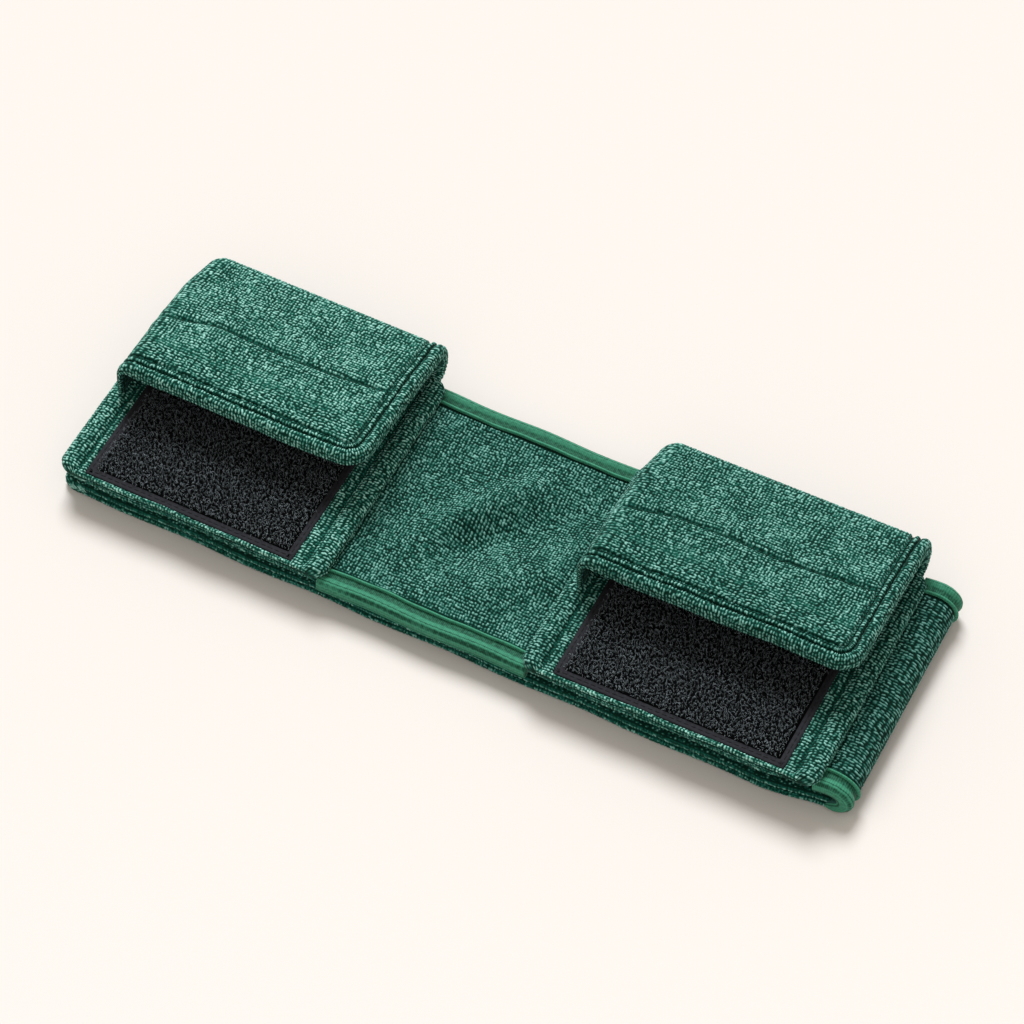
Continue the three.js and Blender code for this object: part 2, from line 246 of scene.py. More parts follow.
def pile_tile(seed, pitch, half_range, thickness, turn, wander):
    """Height of the terry over one tile. Each loop is a short round-topped bar. The loops stand in
    rows that wander a little, each at a jittered place, turned by a slow wander of its row times
    turn plus a little of its own."""
    draw = np.random.default_rng(seed)
    across, along = (int(round(TILE / p)) for p in pitch)
    cell = TILE / TILE_CELLS
    gx, gy = np.meshgrid(np.arange(across), np.arange(along), indexing="ij")
    x = (gx + draw.normal(0, 0.12, gx.shape)).ravel() * TILE / across
    y = (gy + draw.normal(0, 0.1, gx.shape)).ravel() * TILE / along
    calm = np.minimum.reduce([x, y, TILE - x, TILE - y]).clip(0, 8) / 8
    angle = turn * drift(x, y, 13, seed) + draw.normal(0, 0.3, x.size)
    x = x + wander * calm * drift(x, y, 17, seed + 2)
    y = y + wander * calm * drift(x, y, 17, seed + 3)
    half = draw.uniform(*half_range, x.size)
    radius = thickness * pitch[1] * draw.uniform(0.85, 1.15, x.size)
    top = draw.uniform(0.65, 1.0, x.size)
    reach = int(np.ceil((half_range[1] + 0.6) / cell))
    offset = np.arange(-reach, reach + 1)
    ox, oy = (o.ravel() for o in np.meshgrid(offset, offset, indexing="ij"))
    ix = np.floor(x / cell).astype(int)[:, None] + ox
    iy = np.floor(y / cell).astype(int)[:, None] + oy
    dx, dy = ix * cell - x[:, None], iy * cell - y[:, None]
    cos, sin = np.cos(angle)[:, None], np.sin(angle)[:, None]
    along_bar = np.clip(dx * cos + dy * sin, -half[:, None], half[:, None])
    distance = np.hypot(dx - along_bar * cos, dy - along_bar * sin)
    round_top = np.clip(1 - (distance / radius[:, None]) ** 2, 0, 1) ** 0.8
    tile = np.zeros((TILE_CELLS, TILE_CELLS))
    where = (ix % TILE_CELLS, iy % TILE_CELLS)
    np.maximum.at(tile, where, top[:, None] * round_top)
    return tile


TILES = {
    "open": pile_tile(SEED, (1.12, 1.1), (0.0, 0.2), 0.48, 1.0, 0.3),
    "combed": pile_tile(SEED + 1, (1.45, 1.1), (0.15, 0.42), 0.42, 0.3, 0.2),
}
TILES["rolled"] = TILES["combed"].T


def sample(tile, a, s):
    """The tile's height at a, s, between its four nearest cells."""
    x = np.mod(a / TILE * TILE_CELLS, TILE_CELLS)
    y = np.mod(s / TILE * TILE_CELLS, TILE_CELLS)
    i, j = x.astype(int) % TILE_CELLS, y.astype(int) % TILE_CELLS
    i2, j2 = (i + 1) % TILE_CELLS, (j + 1) % TILE_CELLS
    fx, fy = x - np.floor(x), y - np.floor(y)
    near = tile[i, j] * (1 - fx) + tile[i2, j] * fx
    far = tile[i, j2] * (1 - fx) + tile[i2, j2] * fx
    return near * (1 - fy) + far * fy


# ---------------------------------------------------------------- meshes


def outward(points, quads):
    """The quads, turned round if the shape that they close is inside out."""
    p, q, r, s = (points[quads[:, c]] for c in range(4))
    volume = np.einsum("ij,ij->i", p, np.cross(q, r)) + np.einsum("ij,ij->i", p, np.cross(r, s))
    return quads if volume.sum() > 0 else quads[:, ::-1]


def write_mesh(name, points, quads, caps=(), values=None):
    """A mesh object from points in millimetres, its quads, its end caps (each an array of faces
    with the same number of corners) and per-point values."""
    mesh = bpy.data.meshes.new(name)
    faces = [quads, *(np.atleast_2d(cap) for cap in caps)]
    loops = np.concatenate([face.ravel() for face in faces])
    sizes = np.concatenate([np.full(len(face), face.shape[1]) for face in faces])
    starts = np.concatenate([[0], np.cumsum(sizes)[:-1]])
    mesh.vertices.add(len(points))
    mesh.vertices.foreach_set("co", (points * MM).astype(np.float32).ravel())
    mesh.loops.add(len(loops))
    mesh.loops.foreach_set("vertex_index", loops.astype(np.int32))
    mesh.polygons.add(len(sizes))
    mesh.polygons.foreach_set("loop_start", starts.astype(np.int32))
    mesh.polygons.foreach_set("use_smooth", np.ones(len(sizes), bool))
    for key, value in (values or {}).items():
        layer = mesh.attributes.new(key, "FLOAT", "POINT")
        layer.data.foreach_set("value", np.asarray(value, np.float32).ravel())
    mesh.update(calc_edges=True)
    piece = bpy.data.objects.new(name, mesh)
    bpy.context.scene.collection.objects.link(piece)
    return piece


def grid_quads(rows, columns):
    """Quads of a grid whose columns close on themselves."""
    row, column = np.meshgrid(np.arange(rows - 1), np.arange(columns), indexing="ij")
    after = (column + 1) % columns
    corners = [row * columns + column, row * columns + after]
    corners += [(row + 1) * columns + after, (row + 1) * columns + column]
    return np.stack([c.ravel() for c in corners], 1)


def loft(name, section, rows, place, pile=None, ends=(0.0, 0.0), offset=(0.0, 0.0), trim=None):
    """A closed section carried along the rows. Near a rounded end its height shrinks as a half
    circle does. The pile lifts each point along the section's own normal: it is a tile's name, or a
    function of k, s and h, and a height. Trim is the share of it that is left at k, s and h. Plain
    points are all lifted by half that height."""
    s = rows[:, None]
    k = np.broadcast_to(section.k, (len(rows), len(section.k)))
    lift = np.zeros(k.shape)
    height = np.zeros(k.shape)
    if pile:
        kind, amount = pile
        if callable(kind):
            height = kind(k, s, section.h)
        else:
            height = sample(TILES[kind], section.a[None, :] + offset[0], s + offset[1])
        if trim:
            height = height * trim(k, s, section.h)
        lift = np.where(section.plain, 0.5, height) * amount
        height = np.where(section.plain, 0.0, height)
    factor = end_factor(s, rows[0], rows[-1], *ends)
    raised_k = k + section.nk * lift
    raised_h = (section.h + section.nh * lift) * factor
    points = place(raised_k, np.broadcast_to(s, k.shape), raised_h)
    points = np.stack(points, -1).reshape(-1, 3)
    count, width = k.shape
    quads = outward(points, grid_quads(count, width))
    flipped = quads[0, 1] != grid_quads(2, width)[0, 1]
    first, last = np.arange(width), np.arange(width) + (count - 1) * width
    caps = [first, last[::-1]] if flipped else [first[::-1], last]
    values = {
        "pile": height,
        "plain": np.broadcast_to(section.plain, k.shape),
        "along": np.broadcast_to(s, k.shape),
        "across": np.broadcast_to(section.a, k.shape),
    }
    return write_mesh(name, points, quads, caps, values)


def shade_below(piece, section, level, material):
    """Gives the faces of a lofted piece that lie below a height of its section a second, darker
    material: painted shade on the piece's underside.
    """
    piece.data.materials.append(material)
    width = len(section.h)
    index = np.zeros(len(piece.data.polygons), np.int32)
    rows = (len(index) - 2) // width
    index[: rows * width] = np.tile(section.h < level, rows)
    piece.data.polygons.foreach_set("material_index", index)


# ---------------------------------------------------------------- materials


def linear(hex_colour):
    """An sRGB hex colour as linear numbers."""
    srgb = np.array([int(hex_colour[i : i + 2], 16) for i in (0, 2, 4)]) / 255
    value = np.where(srgb <= 0.04045, srgb / 12.92, ((srgb + 0.055) / 1.055) ** 2.4)
    return (*value, 1.0)


def add_node(material, kind, inputs=None, **settings):
    """A node with its settings, and its inputs set to a value or linked from a socket."""
    node = material.node_tree.nodes.new(kind)
    for key, value in settings.items():
        setattr(node, key, value)
    for key, value in (inputs or {}).items():
        if isinstance(value, bpy.types.NodeSocket):
            material.node_tree.links.new(value, node.inputs[key])
        else:
            node.inputs[key].default_value = value
    return node


def new_material(name, **shader_inputs):
    """A material with a Principled shader, and the shader. Each keyword sets the input of that
    name, with an underscore for each space."""
    material = bpy.data.materials.new(name)
    material.use_nodes = True
    shader = material.node_tree.nodes["Principled BSDF"]
    for key, value in shader_inputs.items():
        shader.inputs[key.replace("_", " ")].default_value = value
    return material, shader


def colour_ramp(material, factor, stops, share=1.0):
    """Colours between hex stops by a factor, each multiplied by the share. Red falls off faster
    than green and blue as the share drops, so darker copies, painted shade among them, stay green."""
    ramp = add_node(material, "ShaderNodeValToRGB", {"Fac": factor})
    elements = ramp.color_ramp.elements
    while len(elements) < len(stops):
        elements.new(0.5)
    for element, (position, colour) in zip(elements, stops):
        element.position = position
        scaled_colour = np.array(linear(colour)[:3]) * (share**1.35, share, share)
        element.color = (*scaled_colour, 1.0)
    return ramp.outputs["Color"]


# From the painted shade deep between the loops to the painted highlight at their tips.
TERRY_SHADE_STOPS = [(0.1, "002a20"), (0.48, "135e50"), (0.92, "a0d6c9")]


def maths(material, operation, *values):
    """A Math node's output, from numbers or sockets."""
    node = add_node(material, "ShaderNodeMath", dict(enumerate(values)), operation=operation)
    return node.outputs["Value"]


def attribute(material, name):
    """A value stored on the mesh's points."""
    return add_node(material, "ShaderNodeAttribute", attribute_name=name).outputs["Fac"]


def object_place(material):
    """The place on the object, in metres."""
    return add_node(material, "ShaderNodeTexCoord").outputs["Object"]


def noise(material, place, size, detail):
    """Smooth noise whose patches are about this many millimetres wide."""
    inputs = {"Vector": place, "Scale": 1 / (size * MM), "Detail": detail}
    return add_node(material, "ShaderNodeTexNoise", inputs).outputs["Fac"]


def finish_surface(material, shader, colour, height, strength, depth):
    """Links the colour, and a height that tilts the surface by up to this many millimetres."""
    inputs = {"Height": height, "Strength": strength, "Distance": depth * MM}
    tilt = add_node(material, "ShaderNodeBump", inputs)
    material.node_tree.links.new(colour, shader.inputs["Base Color"])
    material.node_tree.links.new(tilt.outputs["Normal"], shader.inputs["Normal"])
    return material


def drawn_loops(material, place):
    """Cells 1.2 mm wide, high in their middles, that stand for the loops on the sides whose mesh
    is too coarse to hold them, and are 0 elsewhere."""
    inputs = {"Vector": place, "Scale": 1 / (1.2 * MM), "Randomness": 0.8}
    cells = add_node(material, "ShaderNodeTexVoronoi", inputs)
    tops = maths(material, "MULTIPLY_ADD", cells.outputs["Distance"], -1.5, 0.95)
    return maths(material, "MULTIPLY", tops, attribute(material, "plain"))


def terry(name, share):
    """Looped cotton towelling, with a soft sheen where the loose fibres catch light at a low angle.
    Its colour follows the loops' height, modelled or drawn: painted shade between the loops and
    painted highlight at their tips. The share scales each copy's colours, lighter or darker by
    piece."""
    material, shader = new_material(
        name,
        Roughness=0.9,
        Sheen_Weight=0.12 * share,
        Sheen_Roughness=0.45,
        Sheen_Tint=linear("bfe3d6"),
        Specular_IOR_Level=0.12,
    )
    place = object_place(material)
    loops = drawn_loops(material, place)
    raised = maths(material, "ADD", loops, attribute(material, "pile"))
    # Yarn ends about 0.35 mm apart break up each loop's colour.
    fibre = noise(material, place, 0.7, 2.0)
    # The dye is a little uneven over a few centimetres.
    dye = noise(material, place, 34, 1.0)
    jitter = maths(material, "MULTIPLY_ADD", fibre, 0.45, raised)
    shade = maths(material, "MULTIPLY_ADD", dye, 0.05, jitter)
    # Both noises average a half, so this keeps the mean colour where the pile alone puts it.
    centred = maths(material, "SUBTRACT", shade, 0.26)
    # The pile's height picks the colour: painted shade where it is low, painted highlight where it
    # is high.
    colour = colour_ramp(material, centred, TERRY_SHADE_STOPS, share)
    relief = maths(material, "MULTIPLY_ADD", loops, 3.0, fibre)
    return finish_surface(material, shader, colour, relief, 0.5, 0.12)


def knit(name, groove, face):
    """Fine ribbed knit binding, smoother and brighter than the terry. Ribs run across its length,
    and sewn lines along it. Its colour follows the relief: painted shade in the ribs' hollows, in
    the sewn lines, where the cloth is pulled down, and in the creases."""
    material, shader = new_material(
        name,
        Roughness=0.7,
        Sheen_Weight=0.08,
        Sheen_Roughness=0.4,
        Specular_IOR_Level=0.15,
    )
    # Ribs every 0.62 mm; the real ones are finer than this, and would not show.
    turns = maths(material, "MULTIPLY", attribute(material, "along"), 2 * np.pi / 0.62)
    rib_wave = maths(material, "SINE", turns)
    # Yarn about half a millimetre across makes the ribs uneven.
    yarn = noise(material, object_place(material), 0.9, 2.0)
    uneven = maths(material, "MULTIPLY_ADD", yarn, 0.9, attribute(material, "pile"))
    ribbed = maths(material, "MULTIPLY_ADD", rib_wave, 0.12, uneven)
    # The yarn's mean is taken off again.
    factor = maths(material, "SUBTRACT", ribbed, 0.45)
    # The relief picks the colour: painted shade where it is low.
    colour = colour_ramp(material, factor, [(0.0, groove), (0.85, face)])
    return finish_surface(material, shader, colour, ribbed, 0.35, 0.1)


def nylon(name, dark, pale, roughness, gloss, grain_mm):
    """Black nylon, as woven tape, thread, or moulded hooks. Its grain mottles it, and its gloss
    gives the hooks small bright glints; on the hooks, the pale end of the mottling is painted
    glints."""
    material, shader = new_material(name, Roughness=roughness, Specular_IOR_Level=gloss)
    grain = noise(material, object_place(material), grain_mm, 3.0)
    colour = colour_ramp(material, grain, [(0.3, dark), (0.72, pale)])
    return finish_surface(material, shader, colour, grain, 0.4, 0.1)


LEFT_TERRY = terry("cotton_terry_left_unit", 1.06)
RIGHT_TERRY = terry("cotton_terry_right_unit", 0.85)
BAND_TERRY = terry("cotton_terry_band", 0.74)
# A darker copy for the fold at the band's end: painted shade.
FOLD_SHADED_TERRY = terry("cotton_terry_fold", 0.66)
# A copy darker than the units' for cloth lying under other pieces and for the lower face of the
# pads' front piping: painted shade.
UNDER_SHADE_TERRY = terry("cotton_terry_inside", 0.78)
# A much darker copy for the flaps' undersides and the binding's inner lip: painted shade.
UNDERSIDE_SHADE_TERRY = terry("cotton_terry_lining", 0.34)
# A lighter copy for the top of the pads' front piping: painted light.
PIPING_LIT_TERRY = terry("cotton_terry_turned_edge", 1.25)
# A lighter copy for the band's cut edges and free-end hems, whose side faces catch little lamp
# light: painted light.
CUT_EDGE_LIT_TERRY = terry("cotton_terry_cut_edge", 1.05)
KNIT_BINDING = knit("ribbed_knit_binding", "0b3f2e", "419072")
GREEN_THREAD = knit("spun_green_thread", "0a3a2e", "1d5c4a")
# The hooks' pale colour stands for glints: painted highlight.
HOOK_NYLON_GLINTS = nylon("moulded_nylon_hooks", "080d0f", "97a5ab", 0.28, 0.5, 1.3)
FIELD_NYLON = nylon("hook_backing_nylon", "020304", "070809", 1.0, 0.05, 1.2)
TAPE_NYLON = nylon("woven_nylon_tape", "1a1b1f", "28292e", 0.75, 0.15, 0.8)
BLACK_THREAD = nylon("spun_black_thread", "0f1013", "1d1e22", 0.7, 0.2, 0.9)
UNIT_TERRY = {"left": LEFT_TERRY, "right": RIGHT_TERRY}


def settle(piece, material, body, *nodes, blend=None, fill=None):
    """Gives a piece its material, attaches it to its body or, where it bends between two, bakes it
    in place unattached, and hides its CAD nodes.
    """
    piece.data.materials.append(material)
    if blend:
        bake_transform(piece)
    else:
        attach(piece, body)
    if nodes:
        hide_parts(*nodes)
    return piece


# ---------------------------------------------------------------- the band


ARC_REACH = 5.0  # how far before the fold line the band starts to turn
CLIMB = (FOLD_TOP - UPPER_MID) / (FOLD_X - BEND_X)


def upper_mid(x):
    """The height of the upper half's middle surface, which climbs towards the fold."""
    return UPPER_MID + np.maximum(0, x - BEND_X) * CLIMB


def band_path():
    """The band's middle line in x and z: along the upper half, round the fold in half an ellipse,
    and back along the lower half."""
    arc_x = FOLD_X - ARC_REACH
    top = upper_mid(arc_x)
    angle = np.linspace(np.pi / 2, -np.pi / 2, 24)
    arc = np.stack(
        [
            arc_x + ARC_REACH * np.cos(angle),
            (top + FOLD_LOW) / 2 + (top - FOLD_LOW) / 2 * np.sin(angle),
        ],
        1,
    )
    upper = [(START_X, UPPER_MID), (BEND_X, UPPER_MID)]
    return Path(np.concatenate([upper, arc, [(START_X, FOLD_LOW)]]), 1.0)


BAND = band_path()
APEX_S = BAND.s[np.argmax(BAND.line[:, 0])]
APEX = np.array([*BAND.at(APEX_S)[:2]])


def upper_s(x):
    """The length along the band at x on its upper half."""
    return BAND.nearest(x, upper_mid(x))


def lower_s(x):
    """The length along the band at x on its lower half."""
    return BAND.nearest(x, FOLD_LOW)


TABLE_GAP = 0.03  # nothing is lower than this
END_SHIFT = 3.0  # how far back the folded end has slid


def corner_inset(distance, radius):
    """How far a rounded corner has pulled in at this distance from the end."""
    short = np.clip(radius - distance, 0, radius)
    return radius - np.sqrt(np.maximum(radius**2 - short**2, 0))


def band_place(k, s, h):
    """k is y measured back from the front edge, s the length along the band, and h up from the
    plies' middle surface on the upper half."""
    x, z, nx, nz = BAND.at(s)
    slid = END_SHIFT * smoothstep(x, FOLD_X - 30, FOLD_X - 5)
    return x + h * nx, FRONT_Y + k + slid, np.maximum(z + h * nz, TABLE_GAP)


def slab_step(top, bottom):
    """Points close together on the upper side and its edges, wider apart below."""
    return lambda k, h: np.where(h > -0.5 * PLY, top, bottom)


def slab_points(k0, k1, half):
    """The corners of a flat slab, this far up and down from the middle."""
    return [(k0, -half), (k1, -half), (k1, half), (k0, half)]


FOLD_START = np.array([FOLD_X - ARC_REACH, 0, upper_mid(FOLD_X - ARC_REACH)])
FOLD_APEX = np.array([APEX[0], 0, APEX[1]])
FOLD_END = np.array([FOLD_X - ARC_REACH, 0, FOLD_LOW])

EDGE_INSET = 2.2  # of the upper half's cut edges, which lie back under the pads
LOWER_INSET = 1.0  # of the lower half's
EDGE_DEPTH = 3.4  # how far in the edge pieces reach
END_CORNER = 4.0  # of the band's free ends


RIPPLE_TURN = np.radians(54)  # of the ripples' crests, from x


def ripple(x, y):
    """The loose panel's soft folds, on a slant: a crest, the hollow on its front right, which
    widens away from it, and a broader crest past that, all fading out towards the seams. x and y
    run from the panel's own middle."""
    along = x * np.cos(RIPPLE_TURN) + y * np.sin(RIPPLE_TURN)
    across = x * np.sin(RIPPLE_TURN) - y * np.cos(RIPPLE_TURN)
    crest = 3.7 * bump(across, -6, 7) * smoothstep(along, -30, -6) * smoothstep(-along, -34, -14)
    hollow = -2.4 * bump(across, 7 + 0.15 * along, 8) * smoothstep(along, -24, -4)
    swell = 2.0 * bump(across, 25, 9) - 1.0 * bump(across, -24, 9)
    fade = smoothstep(41 - np.abs(y), 0, 12) * smoothstep(41 - np.abs(x), 0, 9)
    return (crest + hollow + swell + 0.5 * drift(x, y, 26, 5)) * fade


HEM_OVERLAP = 4.5  # how far in from a free end the plies begin
EDGE_OVERLAP = 1.2  # how far in from the edge pieces' outlines they begin


def wide_slab():
    """The outline of the upper half's plies, between the pieces that make their edges."""
    edge_k = EDGE_INSET + EDGE_OVERLAP
    return slab_points(edge_k, BAND_WIDTH - edge_k, PLY)


def binding_trim(k, s, h):
    """The pile stops short of the piping on both edges."""
    edge = np.minimum(k, BAND_WIDTH - k)
    return smoothstep(edge, PIPING_SETBACK + 0.9, PIPING_SETBACK + 1.6)


def build_hidden_plies():
    """The upper half where it lies under the pads."""
    hidden = Section(wide_slab(), COARSE)
    spans = {
        "left": (START_X + HEM_OVERLAP, high("left_pad_end_hem")[0] - 3),
        "right": (low("right_pad_start_hem")[0] + 3, high("right_pad_end_hem")[0] - 3),
    }
    for side, (start, end) in spans.items():
        rows = stations(upper_s(start), upper_s(end), COARSE)
        piece = loft(f"upper_band_under_{side}_pad", hidden, rows, band_place, ("open", 0.4))
        settle(piece, UNDER_SHADE_TERRY, "upper_band", fill=0.2)


def build_panel():
    """The rippled panel between the two units."""
    left_end, right_start = high("left_pad_end_hem")[0], low("right_pad_start_hem")[0]
    middle = (left_end + right_start) / 2

    def panel_place(k, s, h):
        x, y, z = band_place(k, s, h)
        raised = ripple(x - middle, y - (FRONT_Y + REAR_Y) / 2)
        return x, y, z + np.where(h > 0, raised, 0.0)

    section = Section(wide_slab(), slab_step(PANEL_STEP, 4 * COARSE))
    rows = stations(upper_s(left_end - 4), upper_s(right_start + 4), PANEL_STEP)
    pile = ("open", LOOP_HEIGHT)
    piece = loft("mid_panel", section, rows, panel_place, pile, trim=binding_trim)
    settle(piece, BAND_TERRY, "upper_band", "upper_band_face", "upper_band_lining", fill=0.25)


def build_fold():
    """The band's bend at its right end, in two pieces that meet at its outermost line."""
    section = Section(wide_slab(), slab_step(FINE, 4 * COARSE))
    pile, shift = ("rolled", LOOP_HEIGHT), (3, 40)
    rows = stations(upper_s(high("right_pad_end_hem")[0] - 4), APEX_S, FINE)
    piece = loft("fold_upper", section, rows, band_place, pile, offset=shift, trim=binding_trim)
    bend = ("fold", FOLD_START, FOLD_APEX)
    settle(piece, FOLD_SHADED_TERRY, "upper_band", "fold_face", blend=bend, fill=0.25)
    rows = stations(APEX_S, lower_s(FOLD_X - ARC_REACH - 3), FINE)
    piece = loft("fold_lower", section, rows, band_place, pile, offset=shift, trim=binding_trim)
    bend = ("lower_band", FOLD_APEX, FOLD_END)
    settle(piece, FOLD_SHADED_TERRY, "fold", "fold_lining", blend=bend, fill=0.25)


def build_lower_band():
    """The two plies of the lower half, which lie flat under everything else."""
    inner_k = LOWER_INSET + EDGE_OVERLAP
    section = Section(slab_points(inner_k, BAND_WIDTH - inner_k, PLY), COARSE)
    rows = stations(lower_s(FOLD_X - ARC_REACH - 2), lower_s(START_X + HEM_OVERLAP), 2.0)
    piece = loft("lower_band", section, rows, band_place, ("open", 0.55))
    settle(piece, UNDER_SHADE_TERRY, "lower_band", "lower_band_face", "lower_band_lining", fill=0.25)


def edge_section(k0, depth, half, lean):
    """The two plies' edges seen from the side: two round ridges with a crease between them."""
    points = [
        (k0 + depth + 0.6, -half),
        (k0 + 0.9, -half * 0.98),
        (k0 + 0.1 + lean, -half * 0.75),
        (k0 + 0.1 + lean, -half * 0.32),
        (k0 + 2.6, -0.02 * half),
        (k0, half * 0.3),
        (k0, half * 0.7),
        (k0 + 0.8, half * 0.98),
        (k0 + depth + 0.6, half),
    ]
    return Section(points, 0.45, 0.2)


def ply_crease_shade(k, s, h):
    """The pile is lower where two plies' edges meet, which also darkens its colour: painted shade in
    the crease.
    """
    return 1 - bump(h, 0, 0.5) - bump(np.abs(h), PLY, 0.45)


def rear(place):
    """The same place with k measured forward from the band's rear edge."""
    return lambda k, s, h: place(BAND_WIDTH - k, s, h)


def build_band_edges():
    """Fuzzy cut edges of the terry under the pads, and all along the lower half."""
    spans = {
        "upper_left": (upper_s(START_X + 1.2), upper_s(high("left_pad_end_hem")[0] - 1)),
        "upper_right": (
            upper_s(low("right_pad_start_hem")[0] + 1),
            upper_s(high("right_pad_end_hem")[0] - 1),
        ),
        "lower": (lower_s(FOLD_X - ARC_REACH), lower_s(START_X + 1.2)),
    }
    for name, (start, end) in spans.items():
        lower = name == "lower"
        body = "lower_band" if lower else "upper_band"
        section = edge_section(LOWER_INSET if lower else EDGE_INSET, EDGE_DEPTH, PLY, 0.35)
        for side, place in (("front", band_place), ("rear", rear(band_place))):

            def wavy(k, s, h, place=place, lower=lower):
                from_end = BAND.length - s if lower else s
                pulled = corner_inset(from_end - 1.2, END_CORNER)
                return place(k + pulled + 0.35 * drift(s, 0 * s, 38, 3), s, h)

            rows = stations(start, end, 0.5)
            pile = ("open", 0.5)
            piece = loft(f"{name}_{side}_edge", section, rows, wavy, pile, (0, 0), (0, 11), ply_crease_shade)
            settle(piece, CUT_EDGE_LIT_TERRY, body)


def build_end_hems():
    """The folded hem at each free end: a round-nosed roll along y."""
    nose = [(6, -2.45), (6, 2.45), (1.8, 2.4), (0.5, 1.6), (0.2, 0), (0.5, -1.6), (1.8, -2.4)]
    section = Section(nose, 0.4, 0.5)
    halves = (("upper", 0.0, 1, EDGE_INSET), ("lower", BAND.length, -1, LOWER_INSET))
    for half, start, side, inset in halves:

        def place(k, s, h, start=start, side=side, inset=inset):
            pulled = corner_inset(s - inset, END_CORNER)
            pulled = pulled + corner_inset(BAND_WIDTH - inset - s, END_CORNER)
            return band_place(s, start + side * (k + pulled), h)

        rows = stations(inset, BAND_WIDTH - inset, 0.4, 2.0, 2.0)
        piece = loft(f"{half}_free_end_hem", section, rows, place, ("combed", 0.5), (2.0, 2.0))
        settle(piece, CUT_EDGE_LIT_TERRY, f"{half}_band", f"{half}_end_hem")


BINDING_RISE = 0.7  # of the binding over the band's face
SEWN_WIDTH = 2.0  # of the sewn lines on the binding's outer shoulder
SEWN_PITCH = 0.72  # from one sewn line to the next
BEAD_RADIUS = 0.5  # of the piping
PIPING_SETBACK = PIPING_Y - FRONT_Y + 1.9  # of the bead, which has eased inward from its seam


def binding_section(folded):
    """A soft tube over the band's edge: a lip on top and a round face, then a crease above the
    thin tube of its lower lip, which the folded end has not."""
    top = PLY + BINDING_RISE
    points = [
        (PIPING_SETBACK + 0.1, PLY - 0.6),
        (PIPING_SETBACK, PLY + 0.15),
        (BINDING_LIP + 1.1, PLY + 0.2),
        (BINDING_LIP + 0.4, top - 0.35),
        (BINDING_LIP - 0.8, top + 0.1),
        (1.7, top + 0.1),
        (0.8, top - 0.35),
        (0.2, top - 1.2),
        (0.0, 1.1),
        (0.05, -0.2),
    ]
    if folded:
        points += [(0.1, -1.2), (0.5, -2.0), (1.4, -PLY)]
    else:
        points += [(0.4, -0.9), (1.5, -1.15), (0.7, -1.4), (0.4, -1.8), (0.6, -2.3), (1.4, -PLY)]
    points.append((BINDING_LIP + 0.6, -PLY))
    return Section(points, lambda k, h: np.where((h > 0.8) & (k < 2.6), 0.17, 0.32), 0.16)


def sewn_relief(k, s, h):
    """Height of the knit between the sewn lines: waves across the crest, each line swaying from
    side to side once a stitch, and a flat height past them. Its low places also darken the knit's
    colour: painted shade in the sewn lines, the crease and the flange."""
    depth = k - 0.8 * (h - PLY - BINDING_RISE)
    sway = 0.3 * np.sin(2 * np.pi * s / 2.4) + 0.5 * drift(s, 0 * s, 21, 9)
    waves = (0.5 + 0.5 * np.cos(2 * np.pi * depth / SEWN_PITCH + sway)) ** 0.7
    sewn = smoothstep(h, 0.9, 1.5) * smoothstep(-k, -SEWN_WIDTH - 0.3, -SEWN_WIDTH)
    # Painted shade in the crease above the lower lip, and on the flange by the bead.
    crease = smoothstep(-np.abs(h + 1.15), -0.5, -0.15) * (k < BINDING_LIP)
    flange = 0.45 * smoothstep(k, BINDING_LIP, BINDING_LIP + 0.8)
    return (0.6 * (1 - sewn) + 0.85 * waves * sewn) * (1 - crease) - flange


def bead_relief(k, s, h):
    """The bead is plain; its colour alone drifts a little."""
    return 0.75 + 0.06 * drift(s, k, 9, 16)


def build_bindings():
    """Binding and its piping on the front and rear edges, between the pads and round the fold."""
    half = BEAD_RADIUS
    round_bead = [(-half, 0), (-0.3, 0.7), (0.3, 0.7), (half, 0), (0.3, -0.8), (-0.3, -0.8)]
    bead = Section(round_bead, 0.16, 0.16)
    left_end, right_start = high("left_pad_end_hem")[0], low("right_pad_start_hem")[0]
    right_end = high("right_pad_end_hem")[0]
    spans = {
        "mid": (upper_s(left_end - 2), upper_s(right_start + 2), None),
        "end": (upper_s(right_end - 2), APEX_S, ("fold", FOLD_START, FOLD_APEX)),
        "fold": (APEX_S, lower_s(FOLD_X - ARC_REACH - 1), ("lower_band", FOLD_APEX, FOLD_END)),
    }
    for name, (start, end, blend) in spans.items():
        body = "fold" if name == "fold" else "upper_band"
        tube = binding_section(name != "mid")
        for side, base in (("front", band_place), ("rear", rear(band_place))):

            def bowed(k, s, h, base=base):
                return base(k + 0.3 * drift(s, 0 * s, 45, 8), s, h)

            def beaded(k, s, h, bowed=bowed):
                return bowed(k + PIPING_SETBACK + 0.12 * drift(s, 0 * s, 19, 15), s, h + PLY + 0.65)

            ends = (0, 4.0) if name == "fold" else (0, 0)
            rows = stations(start, end, 0.3, *ends)
            relief = (sewn_relief, 0.15)
            piece = loft(f"{name}_{side}_binding_tube", tube, rows, bowed, relief, ends)
            settle(piece, KNIT_BINDING, body, f"{name}_{side}_binding", blend=blend)
            # The binding's inner lip gets the darker copy: painted shade.
            shade_below(piece, tube, -1.9, UNDERSIDE_SHADE_TERRY)
            rows = stations(start, end, 0.5, *ends)
            piece = loft(f"{name}_{side}_piping_bead", bead, rows, beaded, (bead_relief, 0.0), ends)
            nodes = () if name == "fold" else (f"{name}_{side}_piping",)
            settle(piece, KNIT_BINDING, body, *nodes, blend=blend)


# ---------------------------------------------------------------- the tab units


